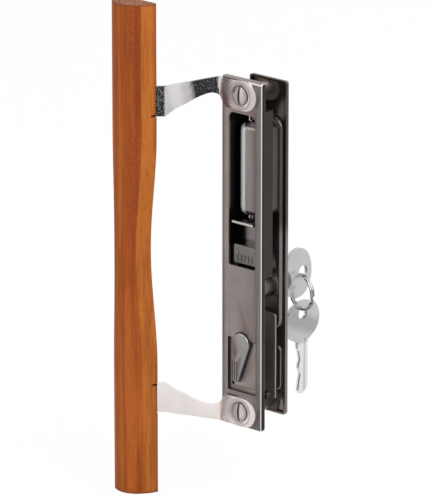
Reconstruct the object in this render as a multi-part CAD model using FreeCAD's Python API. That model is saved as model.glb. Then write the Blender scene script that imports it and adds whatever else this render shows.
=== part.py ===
"""Sliding patio door handle with a wooden pull, flush plates, an internal hook lock and its keys.

Millimetres. X runs across the plates, Y from the room side to the outside, Z up.
The origin is the middle of the inside plate's rim, where it rests on the door stile.
"""
import FreeCAD, Part
import math
import os

from FreeCAD import Vector

# Door stile and plates
stile = 17.5
hole_spacing = 168.3
plate_width = 27.0
outside_width = 24.2
inside_margin = 8.35
outside_margin = 4.85
tray_depth = 2.5
sheet = 1.2
corner_radius = 1.5
edge_round = 0.5

# Openings in the inside plate
window_half = 8.8
window_margin = 9.95
window_bottom = -6.8
window_top_radius = 3.2
window_bottom_radius = 1.0
window_bevel = 0.35
lever_window_half = 9.3
lever_window_rise = 2.1
lever_window_margin = 10.15
lever_gap = 0.4
panel_step = 0.7
panel_sheet = 1.0
panel_slot = 3.0
panel_hub_gap = 1.5
panel_waist = 0.6

# Drawn recesses of the outside plate
dish_half = 10.3
dish_margin = 14.15
dish_share = 0.5229
dish_depth = 3.0
dish_radius = 7.0
dish_bend = 2.1
trough_half = 8.6
trough_margin = 16.65
trough_bottom = 18.2
trough_floor = 3.6
trough_radius = 5.0
trough_bend = 4.0
rib_half = 9.3
rib_share = 0.618
rib_margin = 7.35
rib_depth = 1.4
rib_radius = 4.0
rib_bend = 1.0

# Through screws and their posts
post_radius = 3.4
post_base_radius = 7.0
post_base_height = 1.0
post_reach = 3.0
post_base_gap = 0.1
bore_runout = 0.5
screw_radius = 2.4
screw_clearance = 0.1
screw_head_radius = 4.8
screw_head_height = 1.5
screw_head_rim = 0.5
screw_slot_width = 1.3
screw_slot_depth = 0.8
screw_end = 14.5

# Bent brackets
strap_thickness = 1.8
pad_round = 7.6
pad_centre = 2.9
bend_inside_radius = 2.5
arm_start = -14.0
foot_lead = 2.5
foot_bend_inset = 1.2
pad_run = 4.5
bracket_upper = ((-14.0, 7.3), (-18.7, 6.3), (-24.4, 4.9), (-30.0, 3.7))
bracket_lower = ((-30.0, -9.1), (-26.0, -6.3), (-22.6, -3.6), (-19.0, -1.5), (-16.4, -0.9), (-13.6, -2.3))
dimple_radius = 6.2
dimple_depth = 0.45

# Wooden pull
pull_right = -36.2
pull_width = 22.4
pull_stand_off = 26.2
pull_depth = 12.4
pull_overhang = 46.05
waist_half = 62.0
waist_right = 4.2
waist_left = 1.3
shoulder_inset = 3.7
shoulder_depth = 7.2
left_inset = 4.6
left_depth = 8.4
shoulder_bulge = 0.3
left_bulge = 0.25
waist_sections = 7
end_round = 0.9
slot_depth = 0.6
slot_play = 0.3
notch_height = 1.1
notch_depth = 3.2
notch_run = 3.0
flange_length = 14.5
flange_top = 2.6
flange_bottom = -13.0
foot_screw_share = 0.72
wood_screw_radius = 1.9
wood_screw_length = 5.8
wood_screw_head_radius = 3.6
wood_screw_head_height = 1.7
wood_screw_head_round = 0.6
wood_slot_width = 0.8
wood_slot_depth = 0.7
wood_screw_fit = 0.03
wood_screw_point = 1.2

# Thumb lever, spindle and hook
hub_share = 0.5645
hub_radius = 5.6
lever_proud = 1.5
lever_thickness = 1.9
lever_margin = 15.35
lever_tip_radius = 2.3
lever_lean = 3.4
lever_boss_radius = 4.0
axial_play = 0.25
grip_grooves = 3
grip_pitch = 1.35
grip_width = 0.55
grip_depth = 0.5
grip_length = 9.0
lever_swing = 26.0
spindle_radius = 2.5
running_clearance = 0.05
spindle_tail = 0.9
clip_thickness = 0.7
clip_radius = 4.2
clip_groove = 0.5
clip_mouth = 1.3
hook_front = 4.0
hook_thickness = 3.0
hook_hub_radius = 5.4
hook_margin = 7.65
hook_arm_width = 5.6
hook_angle = -80.0
hook_nose = 5.0
hook_nose_radius = 1.5
hook_ear_root = 4.3
crank_radius = 10.0
crank_ear_radius = 2.6
crank_pin_radius = 1.0
crank_pin_fit = 0.08
spring_wire = 0.8
spring_turns = 3
spring_gap = 0.6
coil_bite = 0.08
coil_sides = 8

# Lock case
case_half = 10.8
case_rise = 14.5
case_margin = 5.15
case_sheet = 1.0
case_corner = 1.5
case_depth = 12.8
case_web_drop = 9.5

# Thumb slide, flag, link and guide
slide_half = 7.0
slide_wing = 9.0
slide_top = 17.0
slide_bottom = 2.5
slide_back = 4.8
slide_plate = 1.6
ledge_thickness = 1.4
ledge_recess = 0.1
ledge_round = 0.5
foot_thickness = 1.5
flag_front = -0.3
flag_thickness = 1.0
flag_bottom = -5.6
flag_top = 4.0
flag_bars = 5
flag_bar_width = 0.8
flag_bar_height = 3.6
flag_bar_proud = 0.35
flag_bar_base = 1.0
link_thickness = 1.6
link_left = -8.9
link_width = 2.8
link_head_right = -2.4
yoke_left = -12.2
yoke_right = -4.6
yoke_height = 9.0
yoke_corner = 1.2
yoke_slot_corner = 0.9
rivet_radius = 0.9
rivet_head_radius = 1.7
rivet_head_height = 0.6
rivet_inset = 2.2
rivet_proud = 0.3
guide_play = 0.3
guide_rail = 2.4
guide_top = 16.0
guide_bottom = -11.5
guide_sheet = 1.0
guide_rise = 2.0
guide_wall_end = 14.0

# Key cylinder
cylinder_x = 1.2
cylinder_share = 0.2365
barrel_radius = 6.2
barrel_inner_end = 2.6
collar_radius = 6.9
collar_nose_radius = 6.5
collar_end = 27.9
plug_radius = 5.0
plug_front_radius = 5.6
plug_shoulder = 1.5
plug_fit = 0.06
plug_end_gap = 0.4
keyway_play = 0.15
keyway_end_wall = 0.4
retainer_thickness = 1.1
retainer_radius = 8.0
retainer_groove = 0.5
cam_thickness = 1.7
cam_radius = 6.4
cam_reach = 8.6
cam_finger_width = 3.2
plug_clip_thickness = 0.7
plug_clip_radius = 6.3
plug_clip_groove = 0.4
wafer_count = 5
wafer_thickness = 0.9
wafer_pitch = 3.4
wafer_first = 7.0
wafer_height = 9.0
wafer_width = 4.4
wafer_play = 0.12

# Keys and split ring
key_thickness = 2.0
key_head = 6.8
key_shoulder = 15.2
key_blade_half = 4.1
key_blade_length = 28.2
key_bow_half = 13.3
key_bow_upper = (6.3, 5.6)
key_bow_side = -4.6
key_bow_lower = (7.3, -13.4)
key_tip = ((4.1, 3.0), (1.5, 0.0), (-1.9, 0.0), (-3.5, 2.0))
key_hole_radius = 3.1
key_groove_width = 1.3
key_groove_depth = 0.45
key_cuts = (1.2, 2.1, 0.9, 2.4, 1.5)
key_cut_pitch = 4.2
key_first_cut = 5.0
key_cut_flat = 0.8
key_seat_play = 0.2
ring_wire = 1.2
ring_radius = 9.3
ring_turn = -13.0
ring_play = 0.45

# Places worked out from the sizes above
inside_face = -tray_depth
inside_floor = inside_face + sheet
outside_rim = stile
outside_face = stile + tray_depth
outside_floor = outside_face - sheet
dish_back = outside_floor - dish_depth
screw_z = hole_spacing / 2
inside_length = hole_spacing + 2 * inside_margin
outside_length = hole_spacing + 2 * outside_margin
pull_half_length = screw_z + pull_overhang
window_top = screw_z - window_margin
dish_top = screw_z - dish_margin
trough_top = screw_z - trough_margin
cylinder_z = -cylinder_share * screw_z
dish_bottom = -dish_share * screw_z
hub_z = -hub_share * screw_z
rib_top = -rib_share * screw_z
rib_bottom = rib_margin - screw_z
lever_window_top = hub_z + lever_window_rise
lever_window_bottom = lever_window_margin - screw_z
lever_reach = screw_z + hub_z - lever_margin
hook_reach = screw_z + hub_z - hook_margin
case_top = hub_z + case_rise
case_bottom = case_margin - screw_z
case_web_top = hub_z - case_web_drop
rail_top = window_top + guide_rise
pad_face = inside_face - strap_thickness
pull_back = -pull_stand_off
flange_face = pull_back - slot_depth
lever_back = inside_face - lever_proud + lever_thickness
link_front = flag_front + flag_thickness
case_front = inside_face + panel_step + panel_sheet
case_back = case_front + case_depth
dish_face = dish_back + sheet
key_hole_y = collar_end + key_seat_play + key_shoulder
plug_end = inside_floor + plug_end_gap
cam_back = barrel_inner_end - running_clearance
cam_front = cam_back - cam_thickness
plug_clip_back = cam_front - running_clearance
hook_back = hook_front + hook_thickness


def block(x0, x1, y0, y1, z0, z1, corner=0.0):
    """Box between limits, its four upright-in-plan corners rounded about Y."""
    shape = Part.makeBox(x1 - x0, y1 - y0, z1 - z0, Vector(x0, y0, z0))
    if corner > 0:
        shape = shape.makeFillet(corner, edges_along_y(shape))
    return shape


def rod(radius, x, z, y0, y1):
    """Cylinder along Y."""
    return Part.makeCylinder(radius, y1 - y0, Vector(x, y0, z), Vector(0, 1, 0))


def prism(points, y0, y1):
    """Straight-edged outline in X and Z, extruded along Y."""
    corners = [Vector(x, y0, z) for x, z in points]
    return Part.Face(Part.makePolygon(corners + corners[:1])).extrude(Vector(0, y1 - y0, 0))


def edges_along_y(shape):
    """Straight edges that run along Y."""
    return [e for e in shape.Edges if e.BoundBox.XLength < 1e-6 and e.BoundBox.ZLength < 1e-6]


def edges_on_y(shape, y):
    """Edges that lie in the plane at this Y."""
    return [e for e in shape.Edges if abs(e.BoundBox.YMin - y) < 1e-6 and abs(e.BoundBox.YMax - y) < 1e-6]


def within(edges, half, z0, z1):
    """Those of the edges inside a window of this half width and height."""
    slack = 1e-3
    return [
        e for e in edges
        if abs(e.CenterOfMass.x) <= half + slack and z0 - slack <= e.CenterOfMass.z <= z1 + slack
    ]


def arc(a, b, c):
    """Arc edge through three points."""
    return Part.Arc(Vector(*a), Vector(*b), Vector(*c)).toShape()


def line(a, b):
    """Straight edge between two points."""
    return Part.makeLine(Vector(*a), Vector(*b))


def save(name, shape):
    """Write one sub-part."""
    shape.exportStep("parts/" + name + ".step")


def tray(width, length, face, rim):
    """Shallow plate with a folded rim: flat face at one Y, rim edge at the other."""
    half = width / 2
    low, high = min(face, rim), max(face, rim)
    shape = block(-half, half, low, high, -length / 2, length / 2, corner_radius)
    shape = shape.makeChamfer(edge_round, edges_on_y(shape, face))
    step = sheet if rim > face else -sheet
    inner_low, inner_high = min(face + step, rim), max(face + step, rim)
    hollow = block(
        -half + sheet, half - sheet, inner_low, inner_high,
        -length / 2 + sheet, length / 2 - sheet, corner_radius - sheet,
    )
    return shape.cut(hollow)


def window_tool():
    """Cutter for the tall window, rounder at the top."""
    shape = Part.makeBox(
        2 * window_half, sheet, window_top - window_bottom, Vector(-window_half, inside_face, window_bottom)
    )
    middle = (window_top + window_bottom) / 2
    upper = [e for e in edges_along_y(shape) if e.CenterOfMass.z > middle]
    shape = shape.makeFillet(window_top_radius, upper)
    lower = [e for e in edges_along_y(shape) if e.CenterOfMass.z < window_bottom + window_bottom_radius]
    return shape.makeFillet(window_bottom_radius, lower)


def inside_plate():
    """Room-side tray with the slide's window and the lever's pressed recess."""
    shape = tray(plate_width, inside_length, inside_face, 0.0)
    shape = shape.cut(window_tool())
    rim_edges = within(edges_on_y(shape, inside_face), window_half, window_bottom, window_top)
    shape = shape.makeChamfer(window_bevel, rim_edges)
    half = lever_window_half
    shape = shape.cut(
        block(-half, half, inside_face, inside_floor, lever_window_bottom, lever_window_top, edge_round)
    )
    shape = shape.cut(rod(hub_radius + lever_gap, 0, hub_z, inside_face, inside_floor))
    shape = shape.fuse(lever_panel())
    for side in (-1, 1):
        shape = shape.cut(rod(screw_radius + screw_clearance, 0, side * screw_z, inside_face, 0))
    return shape.removeSplitter()


def lever_panel():
    """Tongue of the plate pressed back under the lever, hung from the recess's right edge."""
    right = lever_window_half + panel_step
    base = lever_window_bottom + panel_slot
    tip = hub_z - lever_reach
    outline = (
        (right, lever_window_top - panel_step),
        (hub_radius + panel_hub_gap, lever_window_top - panel_step),
        (lever_tip_radius, hub_z - panel_waist * lever_reach),
        (-lever_tip_radius / 2, tip),
        (-lever_window_half + lever_tip_radius, tip - lever_gap),
        (-lever_window_half + lever_tip_radius, base),
        (right, base),
    )
    return prism(outline, inside_face + panel_step, inside_face + panel_step + panel_sheet)


def drawn(half, z0, z1, face, bottom, corner, bend, rounded):
    """Solid of a drawn recess: open at face, with a sloped or rounded bend all round its far end."""
    shape = block(-half, half, bottom, face, z0, z1, corner)
    edges = edges_on_y(shape, bottom)
    return shape.makeFillet(bend, edges) if rounded else shape.makeChamfer(bend, edges)


def outside_plate():
    """Outdoor tray with a shallow dish, a deep finger trough and a stiffening recess."""
    shape = tray(outside_width, outside_length, outside_face, outside_rim)
    recesses = (
        (dish_half, dish_bottom, dish_top, dish_back, dish_radius, dish_bend, False),
        (rib_half, rib_bottom, rib_top, outside_floor - rib_depth, rib_radius, rib_bend, False),
        (trough_half, trough_bottom, trough_top, trough_floor, trough_radius, trough_bend, True),
    )
    for half, z0, z1, bottom, corner, bend, rounded in recesses:
        shape = shape.fuse(drawn(half, z0, z1, outside_floor, bottom, corner, bend, rounded))
    for half, z0, z1, bottom, corner, bend, rounded in recesses:
        inner = drawn(
            half - sheet, z0 + sheet, z1 - sheet, outside_face, bottom + sheet,
            corner - sheet, max(bend - sheet, edge_round), rounded,
        )
        shape = shape.cut(inner)
    shape = shape.cut(rod(barrel_radius, cylinder_x, cylinder_z, dish_back, dish_face))
    return shape.removeSplitter()


def offset_path(points, distance):
    """Path moved sideways by a distance, with mitred corners."""
    moved = []
    for i, (x, y) in enumerate(points):
        before = points[max(i - 1, 0)]
        after = points[min(i + 1, len(points) - 1)]
        first = Vector(x - before[0], y - before[1], 0) if i > 0 else None
        second = Vector(after[0] - x, after[1] - y, 0) if i < len(points) - 1 else None
        first = first or second
        second = second or first
        normal_a = Vector(-first.y, first.x, 0).normalize()
        normal_b = Vector(-second.y, second.x, 0).normalize()
        bisector = (normal_a + normal_b).normalize()
        moved.append(Vector(x, y, 0) + bisector * (distance / bisector.dot(normal_a)))
    return moved


def bracket_outline(sign):
    """Outline of one bracket seen square on, waisted between the pad and the wide foot."""
    z0 = sign * screw_z
    foot_start = pull_right + foot_lead
    foot_end = pull_right - flange_length
    arm_end = arm_start + pad_run

    def at(x, z):
        return Vector(x, 0, z0 + sign * z)

    upper = Part.BSplineCurve()
    upper.interpolate([at(x, z) for x, z in bracket_upper] + [at(foot_start, flange_top)])
    lower = Part.BSplineCurve()
    middle = [at(x, z) for x, z in bracket_lower]
    lower.interpolate([at(foot_start, flange_bottom)] + middle + [at(arm_end, -pad_round)])
    edges = [
        arc(at(pad_centre, pad_round), at(pad_centre + pad_round, 0), at(pad_centre, -pad_round)),
        Part.makeLine(at(pad_centre, -pad_round), at(arm_end, -pad_round)),
        lower.toShape(),
        Part.makeLine(at(foot_start, flange_bottom), at(foot_end, flange_bottom)),
        Part.makeLine(at(foot_end, flange_bottom), at(foot_end, flange_top)),
        Part.makeLine(at(foot_end, flange_top), at(foot_start, flange_top)),
        upper.toShape(),
        Part.makeLine(at(*bracket_upper[0]), at(pad_centre, pad_round)),
    ]
    return Part.Face(Part.Wire(Part.__sortEdges__(edges)))


def bracket(sign):
    """Bent strap: pad on the plate, arm out to the pull, foot let into its back."""
    pad_line = inside_face - strap_thickness / 2
    foot_line = flange_face + strap_thickness / 2
    path = [
        (pad_centre + 2 * pad_round, pad_line),
        (arm_start, pad_line),
        (pull_right - foot_bend_inset, foot_line),
        (pull_right - 2 * flange_length, foot_line),
    ]
    near = offset_path(path, strap_thickness / 2)
    far = offset_path(path, -strap_thickness / 2)
    loop = near + far[::-1]
    tall = screw_z
    strip = Part.Face(Part.makePolygon(loop + loop[:1])).extrude(Vector(0, 0, tall))
    strip.translate(Vector(0, 0, screw_z - tall / 2 if sign > 0 else -screw_z - tall / 2))
    for corner, radius in (
        (near[1], bend_inside_radius + strap_thickness), (far[1], bend_inside_radius),
        (near[2], bend_inside_radius), (far[2], bend_inside_radius + strap_thickness),
    ):
        bend = [
            e for e in strip.Edges
            if e.BoundBox.ZLength > tall / 2 and math.hypot(
                e.CenterOfMass.x - corner.x, e.CenterOfMass.y - corner.y) < 1e-4
        ]
        strip = strip.makeFillet(radius, bend)
    outline = bracket_outline(sign)
    outline.translate(Vector(0, flange_face - strap_thickness, 0))
    shape = strip.common(outline.extrude(Vector(0, inside_face - flange_face + 2 * strap_thickness, 0)))
    z0 = sign * screw_z
    shape = shape.cut(rod(screw_radius + screw_clearance, 0, z0, pad_face, inside_face))
    dimple = Part.makeCone(
        dimple_radius, screw_head_radius, dimple_depth, Vector(0, pad_face, z0), Vector(0, 1, 0)
    )
    x, z = foot_screw(sign)
    hole = rod(wood_screw_radius + wood_screw_fit, x, z, flange_face, flange_face + strap_thickness)
    return shape.cut(dimple).cut(hole)


def foot_screw(sign):
    """Place of the wood screw in a bracket's foot."""
    return pull_right - foot_screw_share * flange_length, sign * (screw_z + (flange_top + flange_bottom) / 2)


def pull_section(z, inset=0.0):
    """Cross-section of the wooden pull at one height: flat back, ridge on the right, crowned front."""
    ease = 0.5 * (1 + math.cos(math.pi * z / waist_half)) if abs(z) < waist_half else 0.0
    right = pull_right - waist_right * ease - inset
    left = pull_right - pull_width + waist_left * ease + inset
    back = pull_back - inset
    middle = (right + left) / 2
    back_right = (right, back, z)
    ridge = (right - shoulder_inset, back - shoulder_depth + inset, z)
    crown = (middle, back - pull_depth + 2 * inset, z)
    flank = (left, back - left_depth + inset, z)
    back_left = (left + left_inset, back, z)
    edges = [
        arc(back_right, (right - shoulder_bulge * shoulder_inset, back - shoulder_depth / 2, z), ridge),
        arc(ridge, crown, flank),
        arc(flank, (left + left_bulge * left_inset, back - left_depth / 2, z), back_left),
        line(back_left, back_right),
    ]
    return Part.Wire(edges)


def wood_pull():
    """Shaped and sanded pull with a waist on its grip side and a routed slot for each bracket."""
    steps = waist_sections - 1
    heights = [waist_half * (2 * i / steps - 1) for i in range(waist_sections)]
    shape = Part.makeLoft([pull_section(z) for z in heights], True, False)
    for sign in (-1, 1):
        start, shoulder = sign * waist_half, sign * (pull_half_length - end_round)
        end = Part.Face(pull_section(start)).extrude(Vector(0, 0, shoulder - start))
        outlines = [pull_section(shoulder), pull_section(sign * pull_half_length, end_round)]
        shape = shape.fuse(end).fuse(Part.makeLoft(outlines, True, True))
    for sign in (-1, 1):
        heights = sorted((
            sign * (screw_z + flange_bottom - slot_play), sign * (screw_z + flange_top + slot_play)
        ))
        slot = block(
            pull_right - flange_length - slot_play, pull_right + pull_width,
            flange_face, pull_back + pull_depth, *heights,
        )
        foot_end = screw_z + flange_bottom
        notch = block(
            pull_right - notch_run, pull_right + pull_width, pull_back - notch_depth, pull_back,
            *sorted((sign * foot_end, sign * (foot_end + notch_height))),
        )
        x, z = foot_screw(sign)
        pilot = rod(wood_screw_radius + wood_screw_fit, x, z, flange_face - wood_screw_length, flange_face)
        shape = shape.cut(slot).cut(notch).cut(pilot)
    return shape


def wood_screw(sign):
    """Pan-head screw that holds a bracket's foot in the pull."""
    x, z = foot_screw(sign)
    seat = flange_face + strap_thickness
    neck = flange_face - wood_screw_length + wood_screw_point
    shank = rod(wood_screw_radius, x, z, neck, seat)
    point = Part.makeCone(
        wood_screw_radius, wood_screw_radius / 4, wood_screw_point, Vector(x, neck, z), Vector(0, -1, 0)
    )
    top = seat + wood_screw_head_height
    head = rod(wood_screw_head_radius, x, z, seat, top)
    head = head.makeChamfer(wood_screw_head_round, edges_on_y(head, top))
    slot = block(
        x - wood_screw_head_radius, x + wood_screw_head_radius, top - wood_slot_depth, top,
        z - wood_slot_width / 2, z + wood_slot_width / 2,
    )
    return shank.fuse(point).fuse(head).cut(slot).removeSplitter()


def through_screw(sign):
    """Oval-head machine screw from the pad into the outside plate's post, slot upright."""
    z = sign * screw_z
    seat = pad_face + dimple_depth
    top = seat - screw_head_height
    rise = screw_head_height - screw_head_rim
    crown_radius = (screw_head_radius ** 2 + rise ** 2) / (2 * rise)
    crown = Part.makeSphere(crown_radius, Vector(0, top + crown_radius, z))
    head = rod(screw_head_radius, 0, z, top, seat).common(crown)
    slot = block(
        -screw_slot_width / 2, screw_slot_width / 2, top, top + screw_slot_depth,
        z - screw_head_radius, z + screw_head_radius,
    )
    shank = rod(screw_radius, 0, z, seat, screw_end)
    return head.cut(slot).fuse(shank).removeSplitter()


def post(sign):
    """Threaded post with a wide foot, standing on the inside of the outside plate."""
    z = sign * screw_z
    shape = rod(post_radius, 0, z, post_reach, outside_floor - post_base_height)
    base = rod(post_base_radius, 0, z, outside_floor - post_base_height, outside_floor)
    # The foot is trimmed where the plate's rim passes
    limit = outside_length / 2 - sheet - post_base_gap
    keep = block(
        -post_base_radius, post_base_radius, post_reach, outside_floor,
        *sorted((sign * limit, sign * (screw_z - post_base_radius))),
    )
    shape = shape.fuse(base.common(keep))
    bore = rod(screw_radius + screw_clearance, 0, z, post_reach, screw_end + bore_runout)
    return shape.cut(bore).removeSplitter()


def tangent_strip(x0, z0, r0, x1, z1, r1, y0, y1):
    """Plate between two circles, its sides the lines tangent to both."""
    length = math.hypot(x1 - x0, z1 - z0)
    along = math.atan2(z1 - z0, x1 - x0)
    spread = math.acos((r0 - r1) / length)
    corners = []
    for x, z, r, side in ((x0, z0, r0, 1), (x1, z1, r1, 1), (x1, z1, r1, -1), (x0, z0, r0, -1)):
        angle = along + side * spread
        corners.append((x + r * math.cos(angle), z + r * math.sin(angle)))
    shape = prism(corners, y0, y1)
    shape = shape.fuse(rod(r0, x0, z0, y0, y1))
    return shape.fuse(rod(r1, x1, z1, y0, y1)).removeSplitter()


def thumb_lever():
    """Teardrop lever with a grooved tip, resting at its left-hand limit."""
    front = inside_face - lever_proud
    tip_z = hub_z - lever_reach + lever_tip_radius
    shape = tangent_strip(0, hub_z, hub_radius, -lever_lean, tip_z, lever_tip_radius, front, lever_back)
    shape = shape.makeChamfer(edge_round, edges_on_y(shape, front))
    for i in range(grip_grooves):
        x = -lever_lean + (i - (grip_grooves - 1) / 2) * grip_pitch
        groove = block(
            x - grip_width / 2, x + grip_width / 2, front, front + grip_depth,
            tip_z - lever_tip_radius / 2, tip_z + grip_length,
        )
        shape = shape.cut(groove)
    shape = shape.fuse(rod(lever_boss_radius, 0, hub_z, lever_back, case_front - axial_play))
    bore = rod(spindle_radius, 0, hub_z, front + lever_thickness / 2, case_front)
    return shape.cut(bore).removeSplitter()


def lever_spindle():
    """Shaft that carries the lever and the hook through the case, grooved for its clip."""
    front = inside_face - lever_proud + lever_thickness / 2
    end = case_back + axial_play + clip_thickness + spindle_tail
    shape = rod(spindle_radius, 0, hub_z, front, end)
    shape = shape.makeChamfer(clip_groove / 2, edges_on_y(shape, end))
    groove_start = case_back + axial_play
    ring = rod(spindle_radius, 0, hub_z, groove_start, groove_start + clip_thickness)
    ring = ring.cut(rod(spindle_radius - clip_groove, 0, hub_z, groove_start, groove_start + clip_thickness))
    return shape.cut(ring)


def spindle_clip():
    """Snap ring in the spindle's groove, open on one side."""
    y0 = case_back + axial_play
    inner = spindle_radius - clip_groove
    shape = rod(clip_radius, 0, hub_z, y0, y0 + clip_thickness)
    shape = shape.cut(rod(inner, 0, hub_z, y0, y0 + clip_thickness))
    mouth = clip_mouth * inner
    return shape.cut(block(-mouth / 2, mouth / 2, y0, y0 + clip_thickness, hub_z - clip_radius, hub_z))


def crank_place():
    """Crank pin's centre at rest: half the swing above level, on the left of the spindle."""
    angle = math.radians(180 - lever_swing / 2)
    return crank_radius * math.cos(angle), hub_z + crank_radius * math.sin(angle)


def hook_bolt():
    """Flat hook that swings out to the right, with an ear for the crank pin."""
    angle = math.radians(hook_angle)
    end_x, end_z = hook_reach * math.cos(angle), hub_z + hook_reach * math.sin(angle)
    half = hook_arm_width / 2
    arm = tangent_strip(0, hub_z, hook_hub_radius, end_x, end_z, half, hook_front, hook_back)
    nose_angle = angle + math.pi / 2
    nose_x, nose_z = end_x + hook_nose * math.cos(nose_angle), end_z + hook_nose * math.sin(nose_angle)
    nose = tangent_strip(end_x, end_z, half, nose_x, nose_z, hook_nose_radius, hook_front, hook_back)
    crank_x, crank_z = crank_place()
    ear = tangent_strip(0, hub_z, hook_ear_root, crank_x, crank_z, crank_ear_radius, hook_front, hook_back)
    shape = arm.fuse(nose).fuse(ear)
    shape = shape.cut(rod(spindle_radius, 0, hub_z, hook_front, hook_back))
    return shape.cut(rod(crank_pin_radius, crank_x, crank_z, hook_front, hook_back)).removeSplitter()


def crank_pin():
    """Pin riveted in the hook's ear that moves the link."""
    x, z = crank_place()
    return rod(crank_pin_radius, x, z, link_front - crank_pin_fit, hook_back)


def close_coil(radius, wire, turns, y0):
    """Close-wound turns of wire about Y, each biting a hair into the next."""
    faces = []
    for turn in range(turns):
        middle = y0 + wire / 2 + turn * (wire - coil_bite)
        corners = []
        for i in range(coil_sides):
            angle = 2 * math.pi * (i + 0.5) / coil_sides
            out, up = wire / 2 * math.cos(angle), wire / 2 * math.sin(angle)
            corners.append(Vector(radius + out, middle + up, 0))
        faces.append(Part.Face(Part.makePolygon(corners + corners[:1])))
    section = faces[0].fuse(faces[1:]).removeSplitter().Faces[0]
    return section.revolve(Vector(0, 0, 0), Vector(0, 1, 0), 360)


def torsion_spring():
    """Over-centre spring wound round the spindle behind the hook."""
    coil = close_coil(
        spindle_radius + spring_gap + spring_wire / 2, spring_wire, spring_turns, hook_back + axial_play
    )
    coil.translate(Vector(0, 0, hub_z))
    return coil


def lock_case():
    """Folded case behind the lever: two walls joined by a web on the left, open on the right."""
    walls = [
        block(-case_half, case_half, y, y + case_sheet, case_bottom, case_top, case_corner)
        for y in (case_front, case_back - case_sheet)
    ]
    web = block(
        -case_half, -case_half + case_sheet, case_front, case_back, case_bottom + case_corner, case_web_top
    )
    shape = walls[0].fuse(walls[1]).fuse(web)
    bearing = rod(spindle_radius + running_clearance, 0, hub_z, case_front, case_back)
    return shape.cut(bearing).removeSplitter()


def thumb_slide():
    """Slide with a thumb ledge above and a foot that carries the flag."""
    plate = block(-slide_wing, slide_wing, slide_back, slide_back + slide_plate, slide_bottom, slide_top)
    ledge = block(
        -slide_half, slide_half, inside_face + ledge_recess, slide_back,
        slide_top - ledge_thickness, slide_top,
    )
    ledge = ledge.makeFillet(ledge_round, edges_on_y(ledge, inside_face + ledge_recess))
    foot = block(
        -slide_half, slide_half, link_front, slide_back, slide_bottom, slide_bottom + foot_thickness
    )
    return plate.fuse(ledge).fuse(foot).removeSplitter()


def rivet_place():
    """Rivet that joins the flag and the link's head, below the slide's foot."""
    return link_head_right - rivet_inset, slide_bottom - rivet_inset


def indicator_flag():
    """Plate that shows in the window, with plain raised bars and a rivet hole."""
    shape = block(
        -slide_half, slide_half, flag_front, flag_front + flag_thickness, flag_bottom, flag_top, edge_round
    )
    pitch = 2 * slide_half / (flag_bars + 1)
    low = flag_bottom + flag_bar_base
    for i in range(flag_bars):
        x = -slide_half + (i + 1) * pitch
        shape = shape.fuse(
            block(x - flag_bar_width / 2, x + flag_bar_width / 2, flag_front - flag_bar_proud, flag_front,
                  low, low + flag_bar_height)
        )
    x, z = rivet_place()
    hole = rod(rivet_radius, x, z, flag_front - flag_bar_proud, flag_front + flag_thickness)
    return shape.cut(hole).removeSplitter()


def slide_link():
    """Stamped link from the flag down to the crank pin, ending in a level slot."""
    y0, y1 = link_front, link_front + link_thickness
    crank_x, crank_z = crank_place()
    top = crank_z + yoke_height / 2
    bar = block(link_left, link_left + link_width, y0, y1, crank_z, slide_bottom)
    head = block(link_left, link_head_right, y0, y1, flag_bottom, slide_bottom, edge_round)
    yoke = block(yoke_left, yoke_right, y0, y1, crank_z - yoke_height / 2, top, yoke_corner)
    shape = bar.fuse(yoke).fuse(head)
    reach = crank_pin_radius + crank_pin_fit
    travel = crank_radius + crank_x
    slot = block(
        crank_x - travel - reach - crank_pin_fit, crank_x + reach + crank_pin_fit, y0, y1,
        crank_z - reach, crank_z + reach, yoke_slot_corner,
    )
    x, z = rivet_place()
    hole = rod(rivet_radius, x, z, y0, y1)
    return shape.cut(slot).cut(hole).removeSplitter()


def link_rivet():
    """Rivet with a head on each side, holding the link to the flag."""
    x, z = rivet_place()
    y0, y1 = flag_front, link_front + link_thickness
    shape = rod(rivet_radius, x, z, y0 - rivet_proud, y1)
    return shape.fuse(rod(rivet_head_radius, x, z, y1, y1 + rivet_head_height)).removeSplitter()


def slide_guide():
    """Channel in which the slide runs: two rails beside the window, the left one with a deep wall."""
    inner = slide_wing + guide_play
    outer = inner + guide_rail
    bridge_front = slide_back + slide_plate + guide_play
    back = bridge_front + guide_sheet
    shape = block(-outer, outer, inside_floor, back, guide_bottom, rail_top)
    hollow = block(-inner, inner, inside_floor, bridge_front, guide_bottom, guide_top)
    shape = shape.cut(hollow).cut(block(-inner, inner, inside_floor, back, guide_top, rail_top))
    return shape.fuse(block(-outer, -inner, back, guide_wall_end, guide_bottom, rail_top)).removeSplitter()


def cylinder_body():
    """Barrel through the outside plate with a tapered collar, bored for the plug."""
    x, z = cylinder_x, cylinder_z
    shape = rod(barrel_radius, x, z, barrel_inner_end, dish_face)
    collar = Part.makeCone(
        collar_radius, collar_nose_radius, collar_end - dish_face, Vector(x, dish_face, z), Vector(0, 1, 0)
    )
    collar = collar.makeChamfer(edge_round, edges_on_y(collar, collar_end))
    shape = shape.fuse(collar)
    bore = plug_radius + plug_fit
    shape = shape.cut(rod(bore, x, z, barrel_inner_end, collar_end))
    shape = shape.cut(rod(plug_front_radius + plug_fit, x, z, collar_end - plug_shoulder, collar_end))
    y0 = dish_back - retainer_thickness
    inner = rod(barrel_radius - retainer_groove, x, z, y0, dish_back)
    ring = rod(barrel_radius, x, z, y0, dish_back).cut(inner)
    return shape.cut(ring).removeSplitter()


def cylinder_clip():
    """Forked retainer in the barrel's groove, tight behind the plate."""
    x, z = cylinder_x, cylinder_z
    y0 = dish_back - retainer_thickness
    inner = barrel_radius - retainer_groove
    shape = rod(retainer_radius, x, z, y0, dish_back).cut(rod(inner, x, z, y0, dish_back))
    mouth = block(x - inner, x + inner, y0, dish_back, z - retainer_radius, z)
    return shape.cut(mouth)


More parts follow.
